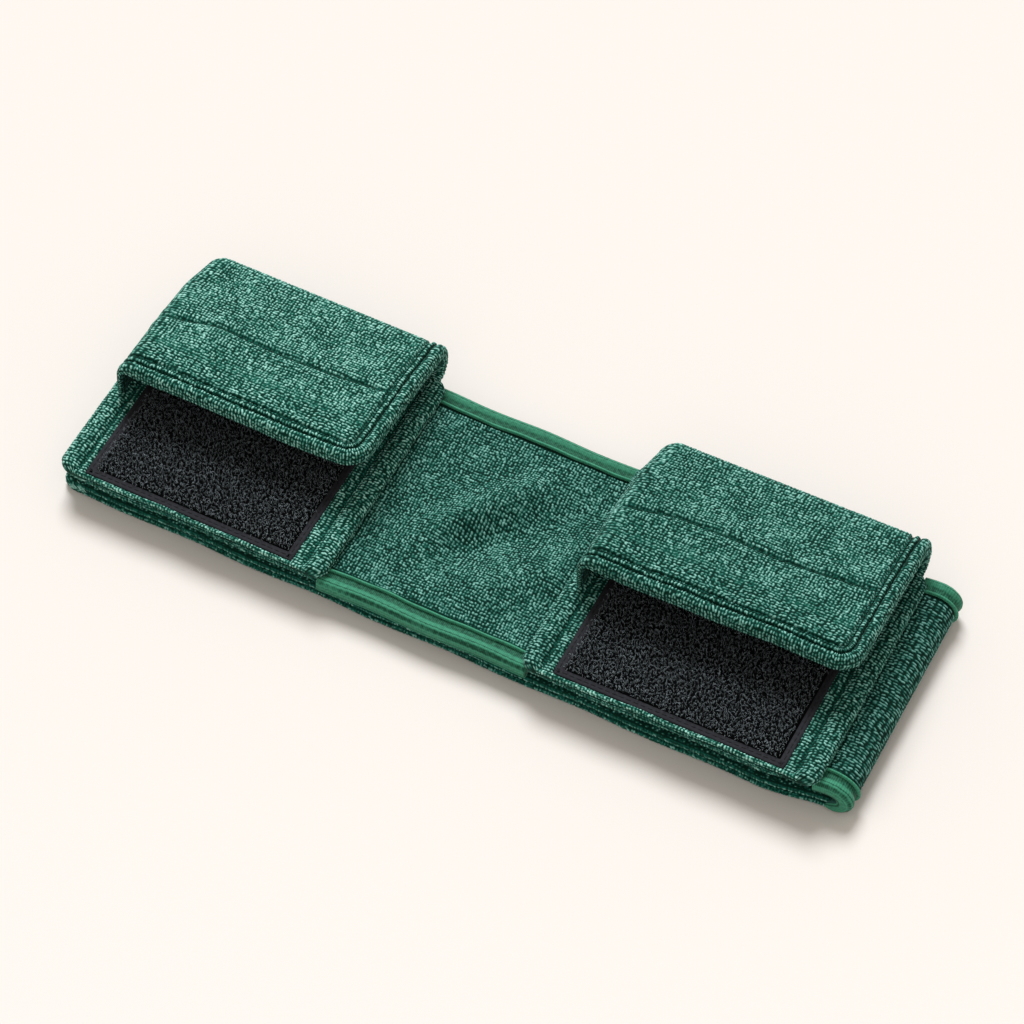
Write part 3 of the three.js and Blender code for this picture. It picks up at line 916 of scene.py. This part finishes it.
PAD_TOP = high("left_pad")[2] - joint_at("left_flap_open")[2]
PAD_BOTTOM = low("left_pad")[2] - joint_at("left_flap_open")[2]
HEM_TOP = high("left_pad_start_hem")[2] - joint_at("left_flap_open")[2]
TAPE_BOTTOM = low("left_hook_tape")[2] - joint_at("left_flap_open")[2]
TAPE_TOP = high("left_hook_tape")[2] - joint_at("left_flap_open")[2]
FIELD_TOP = high("left_hook_field")[2] - joint_at("left_flap_open")[2]
PAD_FRONT = FRONT_Y - joint_at("left_flap_open")[1]
PAD_REAR = REAR_Y - joint_at("left_flap_open")[1]
HEM_WIDTH = high("left_pad_start_hem")[0] - low("left_pad_start_hem")[0]
ROLL_HEIGHT = np.linalg.norm(joint_at("left_flap_unroll") - joint_at("left_flap_open"))
FLAP_TILT = np.radians(90 - JOINTS["left_flap_unroll"]["range_deg"][1])
FLAP_HALF = (high("left_roll_hem")[1] - low("left_roll_hem")[1]) / 2
FLAP_DEPTH = joint_at("left_flap_open")[1] - low("left_flap_hem")[1]
SEAM_SETBACK = joint_at("left_flap_open")[1] - high("left_flap_seam_stitch")[1]
CURL_RADIUS = 4.2  # of the flap's left side, at the cloth's middle
WALL_LENGTH = 10.5  # of the side that hangs from the curl, where the flap is highest
ROLL_FRONT = -4.4  # where the flap's top runs into the roll, in y
ROLL_BOTTOM = 0.9  # how high the cloth's middle lies under the roll
WALL_CLEARANCE = 1.6  # between that side and the pad's hem
FLAP_CORNER = 9.0
HEM_REACH = 7.1  # how far in the flap's hem and its two sewn lines reach


class Unit:
    """One tab unit's own frame: x along the band, y back from the flap's lower fold line, and z
    up from it. The right unit leans with the band."""

    def __init__(self, name):
        self.name = name
        self.origin = joint_at(f"{name}_flap_open")
        self.along = -np.array(JOINTS[f"{name}_flap_open"]["axis"], float)
        self.up = np.cross(self.along, (0, 1, 0))
        self.pad = self.across(f"{name}_pad_start_hem")[0], self.across(f"{name}_pad_end_hem")[1]
        self.tape = self.across(f"{name}_hook_tape")
        self.flap = self.across(f"{name}_flap_hem")
        self.flap_path = self.make_flap_path()
        line = self.flap_path.line
        self.apex_q = self.flap_path.s[np.argmax(line[:, 0])]
        roll_top = ROLL_HEIGHT - ROLL_FRONT * np.tan(FLAP_TILT)
        self.roll_q = self.flap_path.nearest(ROLL_FRONT, roll_top)

    def across(self, node):
        """A node's two ends along x, in this unit's frame."""
        ends = []
        for corner in (low(node), high(node)):
            point = np.array([corner[0], 0, (low(node)[2] + high(node)[2]) / 2])
            ends.append(float((point - self.origin * (1, 0, 1)) @ self.along))
        return ends

    def place(self, x, y, z):
        """The frame's own x, y and z of a place in the unit's frame."""
        axes = np.array([self.along, (0, 1, 0), self.up])
        point = self.origin + np.stack(np.broadcast_arrays(x, y, z), -1) @ axes
        return point[..., 0], point[..., 1], point[..., 2]

    def point(self, y, z):
        """A point of the roll's section, halfway along the flap."""
        return np.array(self.place(sum(self.flap) / 2, y, z))

    def make_flap_path(self):
        """The flap's middle line in y and z: from its front edge back to the roll, round the roll
        in half an ellipse, and a little way forward on the pad."""
        reach = 4.5
        top, bottom = ROLL_HEIGHT - ROLL_FRONT * np.tan(FLAP_TILT), ROLL_BOTTOM
        angle = np.linspace(np.pi / 2, -np.pi / 2, 24)
        roll_z = (top + bottom) / 2 + (top - bottom) / 2 * np.sin(angle)
        roll = np.stack([ROLL_FRONT + reach * np.cos(angle), roll_z], 1)
        y = np.linspace(-FLAP_DEPTH, ROLL_FRONT, 16)
        share = (y + FLAP_DEPTH) / (FLAP_DEPTH + ROLL_FRONT)
        z = ROLL_HEIGHT - y * np.tan(FLAP_TILT) + 0.7 * np.sin(np.pi * share)
        leg = [(-9, bottom - 0.3), (-13, bottom - 0.5)]
        return Path(np.concatenate([np.stack([y, z], 1)[:-1], roll, leg]), 0.9)


def flap_place(unit):
    """p runs right from where the flap's left curl ends, q back from its front edge and round the
    roll, and h up from the cloth's middle. The curl is a quarter circle, and the side below it
    reaches down towards the pad's hem, or only to the curl's end where the roll closes it. The
    side is thinner, with its outer face where it was, and its rear corner is tucked in. The flat
    part sags a little."""
    curl_length = CURL_RADIUS * np.pi / 2
    start_x = unit.flap[0] + FLAP_HALF + CURL_RADIUS

    def place(p, q, h):
        y, z, ny, nz = unit.flap_path.at(q)
        hang = (z - HEM_TOP) / np.maximum(nz, 0.2) - WALL_CLEARANCE
        in_roll = smoothstep(q, unit.roll_q - 7, unit.roll_q - 1)
        hang = hang * (1 - in_roll) + CURL_RADIUS * in_roll
        angle = np.clip(-p, 0, curl_length) / CURL_RADIUS
        below = np.clip(-p - curl_length, 0, None) / WALL_LENGTH
        x = start_x + np.maximum(p, 0) - CURL_RADIUS * np.sin(angle)
        n = -CURL_RADIUS * (1 - np.cos(angle)) - (hang - CURL_RADIUS) * below
        nx, nn = -np.sin(angle), np.cos(angle)
        side = 1 - 0.62 * smoothstep(-p, 0, curl_length)
        h = FLAP_HALF - (FLAP_HALF - h) * side
        thin = 1 - 0.35 * smoothstep(q, unit.apex_q, unit.apex_q + 9)
        tucked = 2.0 * smoothstep(q, unit.roll_q - 14, unit.roll_q + 3) * smoothstep(-p, -14, 0)
        x = x + h * thin * nx + tucked
        n = n + h * thin * nn
        flat = (p > 0) & (q < unit.roll_q)
        sag = np.where(flat, 0.35 * drift(p, q, 42, 21 + len(unit.name)), 0) * smoothstep(p, 0, 12)
        sag = sag * smoothstep(unit.roll_q - q, 0, 12)
        n = n + sag
        return unit.place(x, y + n * ny, z + n * nz)

    return place


def seam_line(p, seam_q, width):
    """How far back the seam across the flap lies: it bows forward at the curl and back at the
    open side."""
    eased = -3.4 * (1 - smoothstep(p, 0, 20)) + 2.6 * smoothstep(p, 0.5 * width, width)
    return seam_q + eased + 0.6 * drift(p, 0 * p, 40, 6)


def flap_pile(unit):
    """Loops stand in rows along the flap's front hem, and in open order behind them."""

    def height(p, q, h):
        rows = smoothstep(-q, -19, -13)
        a, s = p + 17 * len(unit.name), q + 31
        return rows * sample(TILES["combed"], a, s) + (1 - rows) * sample(TILES["open"], a, s)

    return height


def edge_distance(p, q, width):
    """How far inside the flap's outline a point lies, past its rounded front corner."""
    dp, dq = width - p, q
    corner = FLAP_CORNER - np.hypot(np.maximum(FLAP_CORNER - dp, 0), np.maximum(FLAP_CORNER - dq, 0))
    return np.where((dp < FLAP_CORNER) & (dq < FLAP_CORNER), corner, np.minimum(dp, dq))


FLAP_TUCK = 4.5  # how far in under the hem the flap's field begins


def flap_field(place, width, seam_q):
    """Where the flap's field lies and its pile's trim: thinner inside the hem, with a groove along
    the seam across it and a puff on each side of that."""

    def field_place(p, q, h):
        inside = edge_distance(p, q, width)
        under = 0.5 + 0.5 * smoothstep(inside, HEM_REACH - 0.5, HEM_REACH + 0.6)
        seam = q - seam_line(p, seam_q, width)
        groove = bump(seam, 0, 0.9) * smoothstep(p, -5, 0)
        puff = 0.5 * bump(seam, -3.2, 2.2) + 0.35 * bump(seam, 3.2, 2.2)
        top = np.where(h > 0, puff - 0.8 * groove, 0.4 * groove)
        return place(p, q, h * under + top * smoothstep(inside, HEM_REACH, HEM_REACH + 3))

    def seam_trim(p, q, h):
        return 1 - 0.6 * bump(q, seam_line(p, seam_q, width), 0.5) * smoothstep(p, -5, 0)

    return field_place, seam_trim


def build_flap(unit):
    """The flap from its front edge to the roll's rearmost line, and the roll's rear half, with
    their shared hem and the thread. The undersides get a darker copy of the terry: painted shade."""
    place = flap_place(unit)
    width = unit.flap[1] - unit.flap[0] - FLAP_HALF - CURL_RADIUS
    wall_p = -CURL_RADIUS * np.pi / 2 - WALL_LENGTH
    seam_q = FLAP_DEPTH - SEAM_SETBACK + 1
    field_place, seam_trim = flap_field(place, width, seam_q)
    outline = slab_points(wall_p, width - FLAP_TUCK, FLAP_HALF)
    section = Section(outline, lambda k, h: np.where(h > 0, FINE, 2.4), 0.5)

    rows = stations(FLAP_TUCK, unit.apex_q, FINE)
    pile = (flap_pile(unit), LOOP_HEIGHT)
    piece = loft(f"{unit.name}_flap", section, rows, field_place, pile, trim=seam_trim)
    start = unit.point(ROLL_FRONT, ROLL_HEIGHT)
    apex = unit.point(*unit.flap_path.at(unit.apex_q)[:2])
    end = unit.point(ROLL_FRONT, ROLL_BOTTOM)
    bend = (f"{unit.name}_roll", start, apex)
    nodes = [f"{unit.name}_flap_{part}" for part in ("face", "lining", "side_turn")]
    settle(piece, UNIT_TERRY[unit.name], f"{unit.name}_flap", *nodes, blend=bend, fill=0.3)
    shade_below(piece, section, -0.5, UNDERSIDE_SHADE_TERRY)

    rows = stations(unit.apex_q, unit.flap_path.length, FINE, 0, 1.2)
    lower = loft(f"{unit.name}_roll_rear", section, rows, field_place, pile, (0, 1.2))
    nodes = [f"{unit.name}_roll_{part}" for part in ("face", "lining")]
    unbend = ("upper_band", apex, end)
    settle(lower, UNIT_TERRY[unit.name], f"{unit.name}_roll", *nodes, blend=unbend, fill=0.3)
    shade_below(lower, section, -0.5, UNDERSIDE_SHADE_TERRY)

    build_flap_hem(unit, place, width, wall_p, bend, unbend)
    build_flap_stitches(unit, place, width, seam_q, bend)


def hem_line(width, wall_p):
    """The flap's edge in p and q, by the length along it: up the hanging side, along the front,
    round the corner, and back along the open side. Gives the place and the way in."""
    straight = width - FLAP_CORNER - wall_p
    turn = FLAP_CORNER * np.pi / 2

    def at(t):
        angle = np.clip((t - straight) / FLAP_CORNER, 0, np.pi / 2)
        p = wall_p + np.minimum(t, straight) + FLAP_CORNER * np.sin(angle)
        q = FLAP_CORNER * (1 - np.cos(angle)) + np.maximum(t - straight - turn, 0)
        return p, q, -np.sin(angle), np.cos(angle)

    return at, straight + turn - FLAP_CORNER


HEM_LINES = (3.9, 6.1)  # how far in the hem's two sewn lines lie
HEM_OUTLINE = [
    (HEM_REACH, -1.0),
    (6.0, -2.5),
    (4.2, -2.2),
    (3.5, -2.75),
    (2.3, -3.0),
    (1.0, -2.55),
    (0.15, -1.5),
    (0, 0),
    (0.15, 1.5),
    (0.9, 2.75),
    (2.0, 3.25),
    (3.2, 2.8),
    (3.9, 1.3),
    (4.5, 2.7),
    (5.1, 3.0),
    (5.6, 2.65),
    (6.1, 1.3),
    (6.6, 2.2),
    (HEM_REACH, 1.4),
]


def hem_trim(k, t, h):
    """The pile is cut short in the hem's two sewn lines."""
    return 1 - 0.9 * (h > 0) * (bump(k, HEM_LINES[0], 0.45) + bump(k, HEM_LINES[1], 0.45))


def build_flap_hem(unit, place, width, wall_p, bend, unbend):
    """The rolled hem and the narrow ridge between its two sewn lines, as one section."""
    at, base = hem_line(width, wall_p)

    def hem_place(k, t, h):
        p, q, inp, inq = at(t)
        return place(p + k * inp, q + k * inq, h)

    section = Section(HEM_OUTLINE, lambda k, h: np.where(h < -1.6, 0.6, 0.34), 0.13)
    pile = ("combed", 0.45)
    rows = stations(0, base + unit.apex_q, FINE, 1.5, 0)
    name = f"{unit.name}_flap_hem_roll"
    piece = loft(name, section, rows, hem_place, pile, (1.5, 0), (5, 9), hem_trim)
    settle(piece, UNIT_TERRY[unit.name], f"{unit.name}_flap", f"{unit.name}_flap_hem", blend=bend)
    # The hem's underside gets the darker copy: painted shade.
    shade_below(piece, section, -1.2, UNDERSIDE_SHADE_TERRY)
    rows = stations(base + unit.apex_q, base + unit.flap_path.length, FINE, 0, 1.5)
    name = f"{unit.name}_roll_hem_end"
    piece = loft(name, section, rows, hem_place, pile, (0, 1.5), (5, 9), hem_trim)
    settle(piece, UNIT_TERRY[unit.name], f"{unit.name}_roll", f"{unit.name}_roll_hem", blend=unbend)


def stitch_row(name, centres, place, length=1.9, radius=0.26):
    """Sewn stitches: each is a pointed six-sided bar along the row, laid at its centre. A centre
    is k, s, h and the row's direction in k and s."""
    ring = np.arange(6) * np.pi / 3
    profile = [(-0.5, 0.35), (-0.3, 1.0), (0.3, 1.0), (0.5, 0.35)]
    along = np.concatenate([np.full(6, a * length) for a, _ in profile])
    side = np.concatenate([radius * r * np.cos(ring) for _, r in profile])
    rise = np.concatenate([radius * r * np.sin(ring) for _, r in profile])
    k, s, h, dk, ds = (np.asarray(c)[:, None] for c in centres)
    points = place(k + along * dk - side * ds, s + along * ds + side * dk, h + rise)
    points = np.stack(points, -1).reshape(-1, 3)
    quads = grid_quads(4, 6)
    shift = np.arange(len(k))[:, None, None] * 24
    every = outward(points, (quads[None] + shift).reshape(-1, 4))
    flipped = every[0, 1] != quads[0, 1]
    first, last = np.arange(6), np.arange(18, 24)
    caps = (first, last[::-1]) if flipped else (first[::-1], last)
    cap_quads = [np.stack([c[[0, 1, 2, 3]], c[[0, 3, 4, 5]]]) for c in caps]
    ends = (np.concatenate(cap_quads)[None] + shift).reshape(-1, 4)
    return write_mesh(name, points, np.concatenate([every, ends]))


STITCH_PITCH = 2.6  # from one stitch to the next


def build_flap_stitches(unit, place, width, seam_q, bend):
    """Thread in the two lines of the hem and in the seam across the flap."""
    at, base = hem_line(width, -CURL_RADIUS * np.pi / 2)
    rows = []
    for depth in HEM_LINES:
        t = np.arange(2, base + unit.roll_q - 2, STITCH_PITCH)
        p, q, inp, inq = at(t)
        rows.append((p + depth * inp, q + depth * inq, np.full_like(t, 1.5), inq, -inp))
    centres = [np.concatenate(c) for c in zip(*rows)]
    piece = stitch_row(f"{unit.name}_flap_hem_thread", centres, place)
    settle(piece, GREEN_THREAD, f"{unit.name}_flap", f"{unit.name}_flap_hem_stitch", blend=bend)

    p = np.arange(1, width - HEM_REACH - 1, STITCH_PITCH)
    sway = seam_line(p, seam_q, width)
    centres = (p, sway, np.full_like(p, FLAP_HALF - 0.45), np.ones_like(p), 0 * p)
    piece = stitch_row(f"{unit.name}_flap_seam_thread", centres, place)
    settle(piece, GREEN_THREAD, f"{unit.name}_flap", f"{unit.name}_flap_seam_stitch")


PAD_CORNER = 5.0  # of the pad's hems, seen from above


def build_pad(unit):
    """The pad's cloth, nearly all of it under the hook tape, and a hem at each of its ends."""
    x0, x1 = unit.pad
    outline = [(x0 + 6, PAD_BOTTOM), (x1 - 6, PAD_BOTTOM), (x1 - 6, PAD_TOP), (x0 + 6, PAD_TOP)]
    section = Section(outline, lambda k, h: np.where(h > 0, 1.2, COARSE))
    rows = stations(PAD_FRONT + 1.4, PAD_REAR + 3, 1.2, 0, 1.0)
    piece = loft(f"{unit.name}_pad_cloth", section, rows, unit.place, ("open", 0.5), (0, 1.0))
    settle(piece, UNIT_TERRY[unit.name], "upper_band", f"{unit.name}_pad", fill=0.2)
    build_pad_hem(unit, "start", x0, 1, abs(unit.tape[0] - x0))
    build_pad_hem(unit, "end", x1, -1, abs(unit.tape[1] - x1))


def build_pad_hem(unit, side, edge, inward, strip):
    """A round hem at one end of the pad, a groove beside it, and the strip up to the tape."""
    outline = [
        (strip, PAD_BOTTOM + 0.1),
        (0.8, PAD_BOTTOM + 0.1),
        (0.1, 0.2),
        (0.0, 1.4),
        (0.5, 2.4),
        (1.9, HEM_TOP + 0.35),
        (3.8, HEM_TOP + 0.75),
        (5.6, HEM_TOP + 0.35),
        (HEM_WIDTH - 1.6, HEM_TOP - 0.6),
        (HEM_WIDTH - 0.8, PAD_TOP + 0.25),
        (HEM_WIDTH - 0.1, PAD_TOP + 0.7),
        ((HEM_WIDTH + strip) / 2, PAD_TOP + 1.0),
        (strip - 0.3, PAD_TOP + 0.8),
        (strip, PAD_TOP),
    ]
    section = Section(outline, lambda k, h: np.where(h > -0.6, FINE, 1.5), 0.2)

    # Lower pile in the groove beside the hem, which also darkens it: painted shade.
    def hem_groove_shade(k, s, h):
        return 1 - 0.55 * bump(k, HEM_WIDTH - 0.8, 0.6) * (h > 0)

    def hem_place(k, s, h):
        pulled = corner_inset(s - PAD_FRONT, PAD_CORNER) + corner_inset(PAD_REAR - s, PAD_CORNER)
        return unit.place(edge + inward * (k + pulled * (1 - k / strip)), s, h)

    rows = stations(PAD_FRONT, PAD_REAR, FINE, 1.8, 1.8)
    name = f"{unit.name}_pad_{side}_hem"
    pile = ("combed", 0.5)
    piece = loft(f"{name}_roll", section, rows, hem_place, pile, (1.8, 1.8), (3, 7), hem_groove_shade)
    settle(piece, UNIT_TERRY[unit.name], "upper_band", name)


def build_pad_piping(unit):
    """The turned edge along the pad's front, with a round bead on its upper corner. A lighter copy
    of the terry above and a darker one below paint light on its top and shade under it.
    """
    outline = [
        (0.9, PAD_BOTTOM),
        (0.35, -0.9),
        (0.4, -0.1),
        (1.9, 0.3),
        (0.3, 0.75),
        (0.0, 1.6),
        (0.3, 2.3),
        (0.9, 2.35),
        (1.3, 1.8),
        (2.4, 1.6),
        (2.4, PAD_BOTTOM),
    ]
    section = Section(outline, 0.28, 0.12)
    rows = stations(unit.pad[0] + HEM_WIDTH - 2.2, unit.pad[1] - HEM_WIDTH + 2.2, FINE)

    def place(k, s, h):
        return unit.place(s, PAD_FRONT + k + 0.15 * drift(s, 0 * s, 22, 4), h)

    # Lower pile in the creases, which also darkens them: painted shade.
    def crease_shade_trim(k, s, h):
        return 1 - bump(h, 0.3, 0.4) - bump(h, PAD_BOTTOM, 0.4)

    name = f"{unit.name}_pad_front_piping"
    piece = loft(name, section, rows, place, ("open", 0.2), trim=crease_shade_trim)
    settle(piece, PIPING_LIT_TERRY, "upper_band", f"{unit.name}_pad_piping")
    # Below the bead, the darker copy: painted shade.
    shade_below(piece, section, 0.35, UNDER_SHADE_TERRY)


# ---------------------------------------------------------------- the hook patches


TAPE_CORNER = 2.2
TAPE_EASE = 0.9  # how far the tape has crept towards the pad's front edge
BORDER = 2.9  # of plain weave round the hooks
TAPE_RIM = TAPE_TOP + 0.25  # the border's top
FIELD_SEAT = TAPE_TOP + 0.35  # the top of the backing that the hooks stand on
HOOKS_PER_MM2 = 1.85


def build_hook_patch(unit):
    """The woven tape, the hooks' backing inside its border, the hooks, and the stitches."""
    front = low(f"{unit.name}_hook_tape")[1] - unit.origin[1] - TAPE_EASE
    back = high(f"{unit.name}_hook_tape")[1] - unit.origin[1]
    x0, x1 = unit.tape
    middle, half = (x0 + x1) / 2, (x1 - x0) / 2

    def tape_place(k, s, h):
        pulled = corner_inset(s - front, TAPE_CORNER) + corner_inset(back - s, TAPE_CORNER)
        return unit.place(middle + (k - middle) * (1 - pulled / half), s, h)

    build_tape(unit, tape_place, front, back)
    inset = BORDER - 0.2
    across, along = (x0 + inset, x1 - inset), (front + inset, back - inset)
    outline = [(k, h) for h in (TAPE_BOTTOM, FIELD_SEAT) for k in across]
    section = Section([outline[0], outline[1], outline[3], outline[2]], 2.0)
    rows = stations(*along, 2.0, 0.4, 0.4)
    piece = loft(f"{unit.name}_hook_backing", section, rows, tape_place, ("open", 0.3), (0.4, 0.4))
    settle(piece, FIELD_NYLON, "upper_band", f"{unit.name}_hook_field")
    build_hooks(unit, across, along)
    build_patch_stitches(unit, front, back)


def build_tape(unit, tape_place, front, back):
    """The tape, with its raised border down both ends, and the border's front and rear bars."""
    x0, x1 = unit.tape
    middle, half = (x0 + x1) / 2, (x1 - x0) / 2
    outline = [
        (x0, TAPE_BOTTOM),
        (x1, TAPE_BOTTOM),
        (x1, TAPE_RIM - 0.3),
        (x1 - 0.5, TAPE_RIM),
        (x1 - BORDER + 0.3, TAPE_RIM),
        (x1 - BORDER - 0.2, TAPE_TOP),
        (x0 + BORDER + 0.2, TAPE_TOP),
        (x0 + BORDER - 0.3, TAPE_RIM),
        (x0 + 0.5, TAPE_RIM),
        (x0, TAPE_RIM - 0.3),
    ]

    def border_step(k, h):
        return np.where(np.abs(k - middle) > half - BORDER - 1, 0.3, 3.0)

    rows = stations(front, back, 1.5, TAPE_CORNER, TAPE_CORNER)
    section = Section(outline, border_step, 0.15)
    piece = loft(f"{unit.name}_hook_tape_weave", section, rows, tape_place)
    settle(piece, TAPE_NYLON, "upper_band", f"{unit.name}_hook_tape")

    def bar_place(k, s, h):
        return unit.place(s, k, h)

    for side, y0, y1 in (("front", front, front + BORDER), ("rear", back - BORDER, back)):
        bar = [(y0, TAPE_BOTTOM), (y1, TAPE_BOTTOM), (y1, TAPE_RIM), (y0, TAPE_RIM)]
        rows = stations(x0, x1, 0.8, 0.6, 0.6)
        name = f"{unit.name}_hook_tape_{side}_border"
        piece = loft(name, Section(bar, 0.4, 0.2), rows, bar_place, ends=(0.6, 0.6))
        settle(piece, TAPE_NYLON, "upper_band")


def build_hooks(unit, across, along):
    """The hooks: bent three-sided strands. Each starts upright at a jittered grid place, leans
    over in its own direction, and turns down at its tip."""
    draw = np.random.default_rng(SEED + len(unit.name))
    pitch = 1 / np.sqrt(HOOKS_PER_MM2)
    x, y = np.meshgrid(
        np.arange(across[0] + 0.5, across[1] - 0.4, pitch),
        np.arange(along[0] + 0.5, along[1] - 0.4, pitch),
        indexing="ij",
    )
    x = x.ravel() + draw.uniform(-0.45, 0.45, x.size)
    y = y.ravel() + draw.uniform(-0.45, 0.45, y.size)
    angle = draw.uniform(0, 2 * np.pi, x.size)[:, None]
    reach = draw.uniform(0.5, 1.15, x.size)[:, None]
    rise = (FIELD_TOP - FIELD_SEAT + 0.7) * draw.uniform(0.65, 1.1, x.size)[:, None]
    t = np.linspace(0, 1, 3)
    out = reach * t**1.3
    up = rise * np.sin(np.pi * (0.12 + 0.66 * t)) - 0.3
    swerve = draw.uniform(-0.35, 0.35, x.size)[:, None] * np.sin(np.pi * t)
    cos, sin = np.cos(angle), np.sin(angle)
    centre_x = x[:, None] + out * cos - swerve * sin
    centre_y = y[:, None] + out * sin + swerve * cos
    radius = 0.1 * (1 - 0.3 * t)
    ring = np.arange(3) * 2 * np.pi / 3
    side = radius[:, None] * np.cos(ring)
    lift = radius[:, None] * np.sin(ring)
    px = centre_x[:, :, None] - side * sin[:, :, None]
    py = centre_y[:, :, None] + side * cos[:, :, None]
    pz = FIELD_SEAT + up[:, :, None] + lift
    points = np.stack(unit.place(px, py, pz), -1).reshape(-1, 3)
    shift = np.arange(x.size)[:, None, None] * 9
    quads = (grid_quads(3, 3)[None] + shift).reshape(-1, 4)
    quads = outward(points, quads)
    flipped = quads[0, 1] != 1
    ends = [(0, 1, 2), (8, 7, 6)] if flipped else [(2, 1, 0), (6, 7, 8)]
    ends = (np.array(ends)[None] + shift).reshape(-1, 3)
    piece = write_mesh(f"{unit.name}_hooks", points, quads, [ends])
    settle(piece, HOOK_NYLON_GLINTS, "upper_band")


def build_patch_stitches(unit, front, back):
    """A line of black stitches round the middle of the tape's border."""
    inset = BORDER / 2
    x0, x1 = unit.tape[0] + inset, unit.tape[1] - inset
    y0, y1 = front + inset, back - inset
    x = np.arange(x0, x1, STITCH_PITCH)
    y = np.arange(y0, y1, STITCH_PITCH)
    k = np.concatenate([x, x, np.full_like(y, x0), np.full_like(y, x1)])
    s = np.concatenate([np.full_like(x, y0), np.full_like(x, y1), y, y])
    dk = np.concatenate([np.ones(2 * len(x)), np.zeros(2 * len(y))])
    centres = (k, s, np.full_like(k, TAPE_RIM + 0.05), dk, 1 - dk)
    piece = stitch_row(f"{unit.name}_hook_tape_thread", centres, unit.place, 1.8, 0.16)
    settle(piece, BLACK_THREAD, "upper_band", f"{unit.name}_hook_stitch")


# ---------------------------------------------------------------- stage, light and camera


def build_stage():
    """A pale floor far wider than the view."""
    size = 6.0
    mesh = bpy.data.meshes.new("floor")
    corners = [(-size, -size, 0), (size, -size, 0), (size, size, 0), (-size, size, 0)]
    mesh.from_pydata(corners, [], [(0, 1, 2, 3)])
    floor = bpy.data.objects.new("floor", mesh)
    bpy.context.scene.collection.objects.link(floor)
    material, _ = new_material("matte_paper_floor", Base_Color=linear("dfd9d4"), Roughness=1.0)
    mesh.materials.append(material)


def add_light(name, kind, place, strength, colour, **shape):
    """A lamp that shines from its place towards the origin."""
    light = bpy.data.lights.new(name, kind)
    light.energy = strength
    light.color = colour
    for key, value in shape.items():
        setattr(light, key, value)
    lamp = bpy.data.objects.new(name, light)
    lamp.location = place
    lamp.rotation_euler = Vector([-c for c in place]).to_track_quat("-Z", "Y").to_euler()
    bpy.context.scene.collection.objects.link(lamp)


def build_lights():
    """A broad key from above and behind, a weak fill in front, and an even pale sky."""
    key_place = (-1.0, 1.6, 2.2)
    add_light("key", "SUN", key_place, 3.3, (0.97, 1.0, 1.03), angle=np.radians(26))
    fill_place = (0.4, -1.2, 1.1)
    add_light("fill", "AREA", fill_place, 2, (1.0, 0.99, 0.98), shape="DISK", size=1.2)
    world = bpy.data.worlds.new("sky")
    world.use_nodes = True
    background = world.node_tree.nodes["Background"]
    background.inputs["Color"].default_value = linear("fff8f0")
    background.inputs["Strength"].default_value = 0.55
    bpy.context.scene.world = world


CAMERA_AZIMUTH = 27.3
CAMERA_ELEVATION = 54.35
CAMERA_DISTANCE = 1364.0
CAMERA_AIM = (-3.65, 9.28, 5.0)
CAMERA_LENS = 140.6


def build_camera():
    """A long lens above the front right corner, aimed near the middle of the part."""
    azimuth, elevation = np.radians([CAMERA_AZIMUTH, CAMERA_ELEVATION])
    back = np.array(
        [
            np.sin(azimuth) * np.cos(elevation),
            -np.cos(azimuth) * np.cos(elevation),
            np.sin(elevation),
        ]
    )
    camera = bpy.data.objects.new("camera", bpy.data.cameras.new("camera"))
    camera.data.lens = CAMERA_LENS
    camera.data.sensor_width = 36
    camera.location = (np.array(CAMERA_AIM) + back * CAMERA_DISTANCE) * MM
    camera.rotation_euler = Vector(-back).to_track_quat("-Z", "Y").to_euler()
    bpy.context.scene.collection.objects.link(camera)
    bpy.context.scene.camera = camera


build_camera()
build_stage()
build_lights()
bpy.context.scene.view_settings.view_transform = "Standard"

build_hidden_plies()
build_panel()
build_fold()
build_lower_band()
build_band_edges()
build_end_hems()
build_bindings()
for unit in (Unit("left"), Unit("right")):
    build_pad(unit)
    build_pad_piping(unit)
    build_hook_patch(unit)
    build_flap(unit)
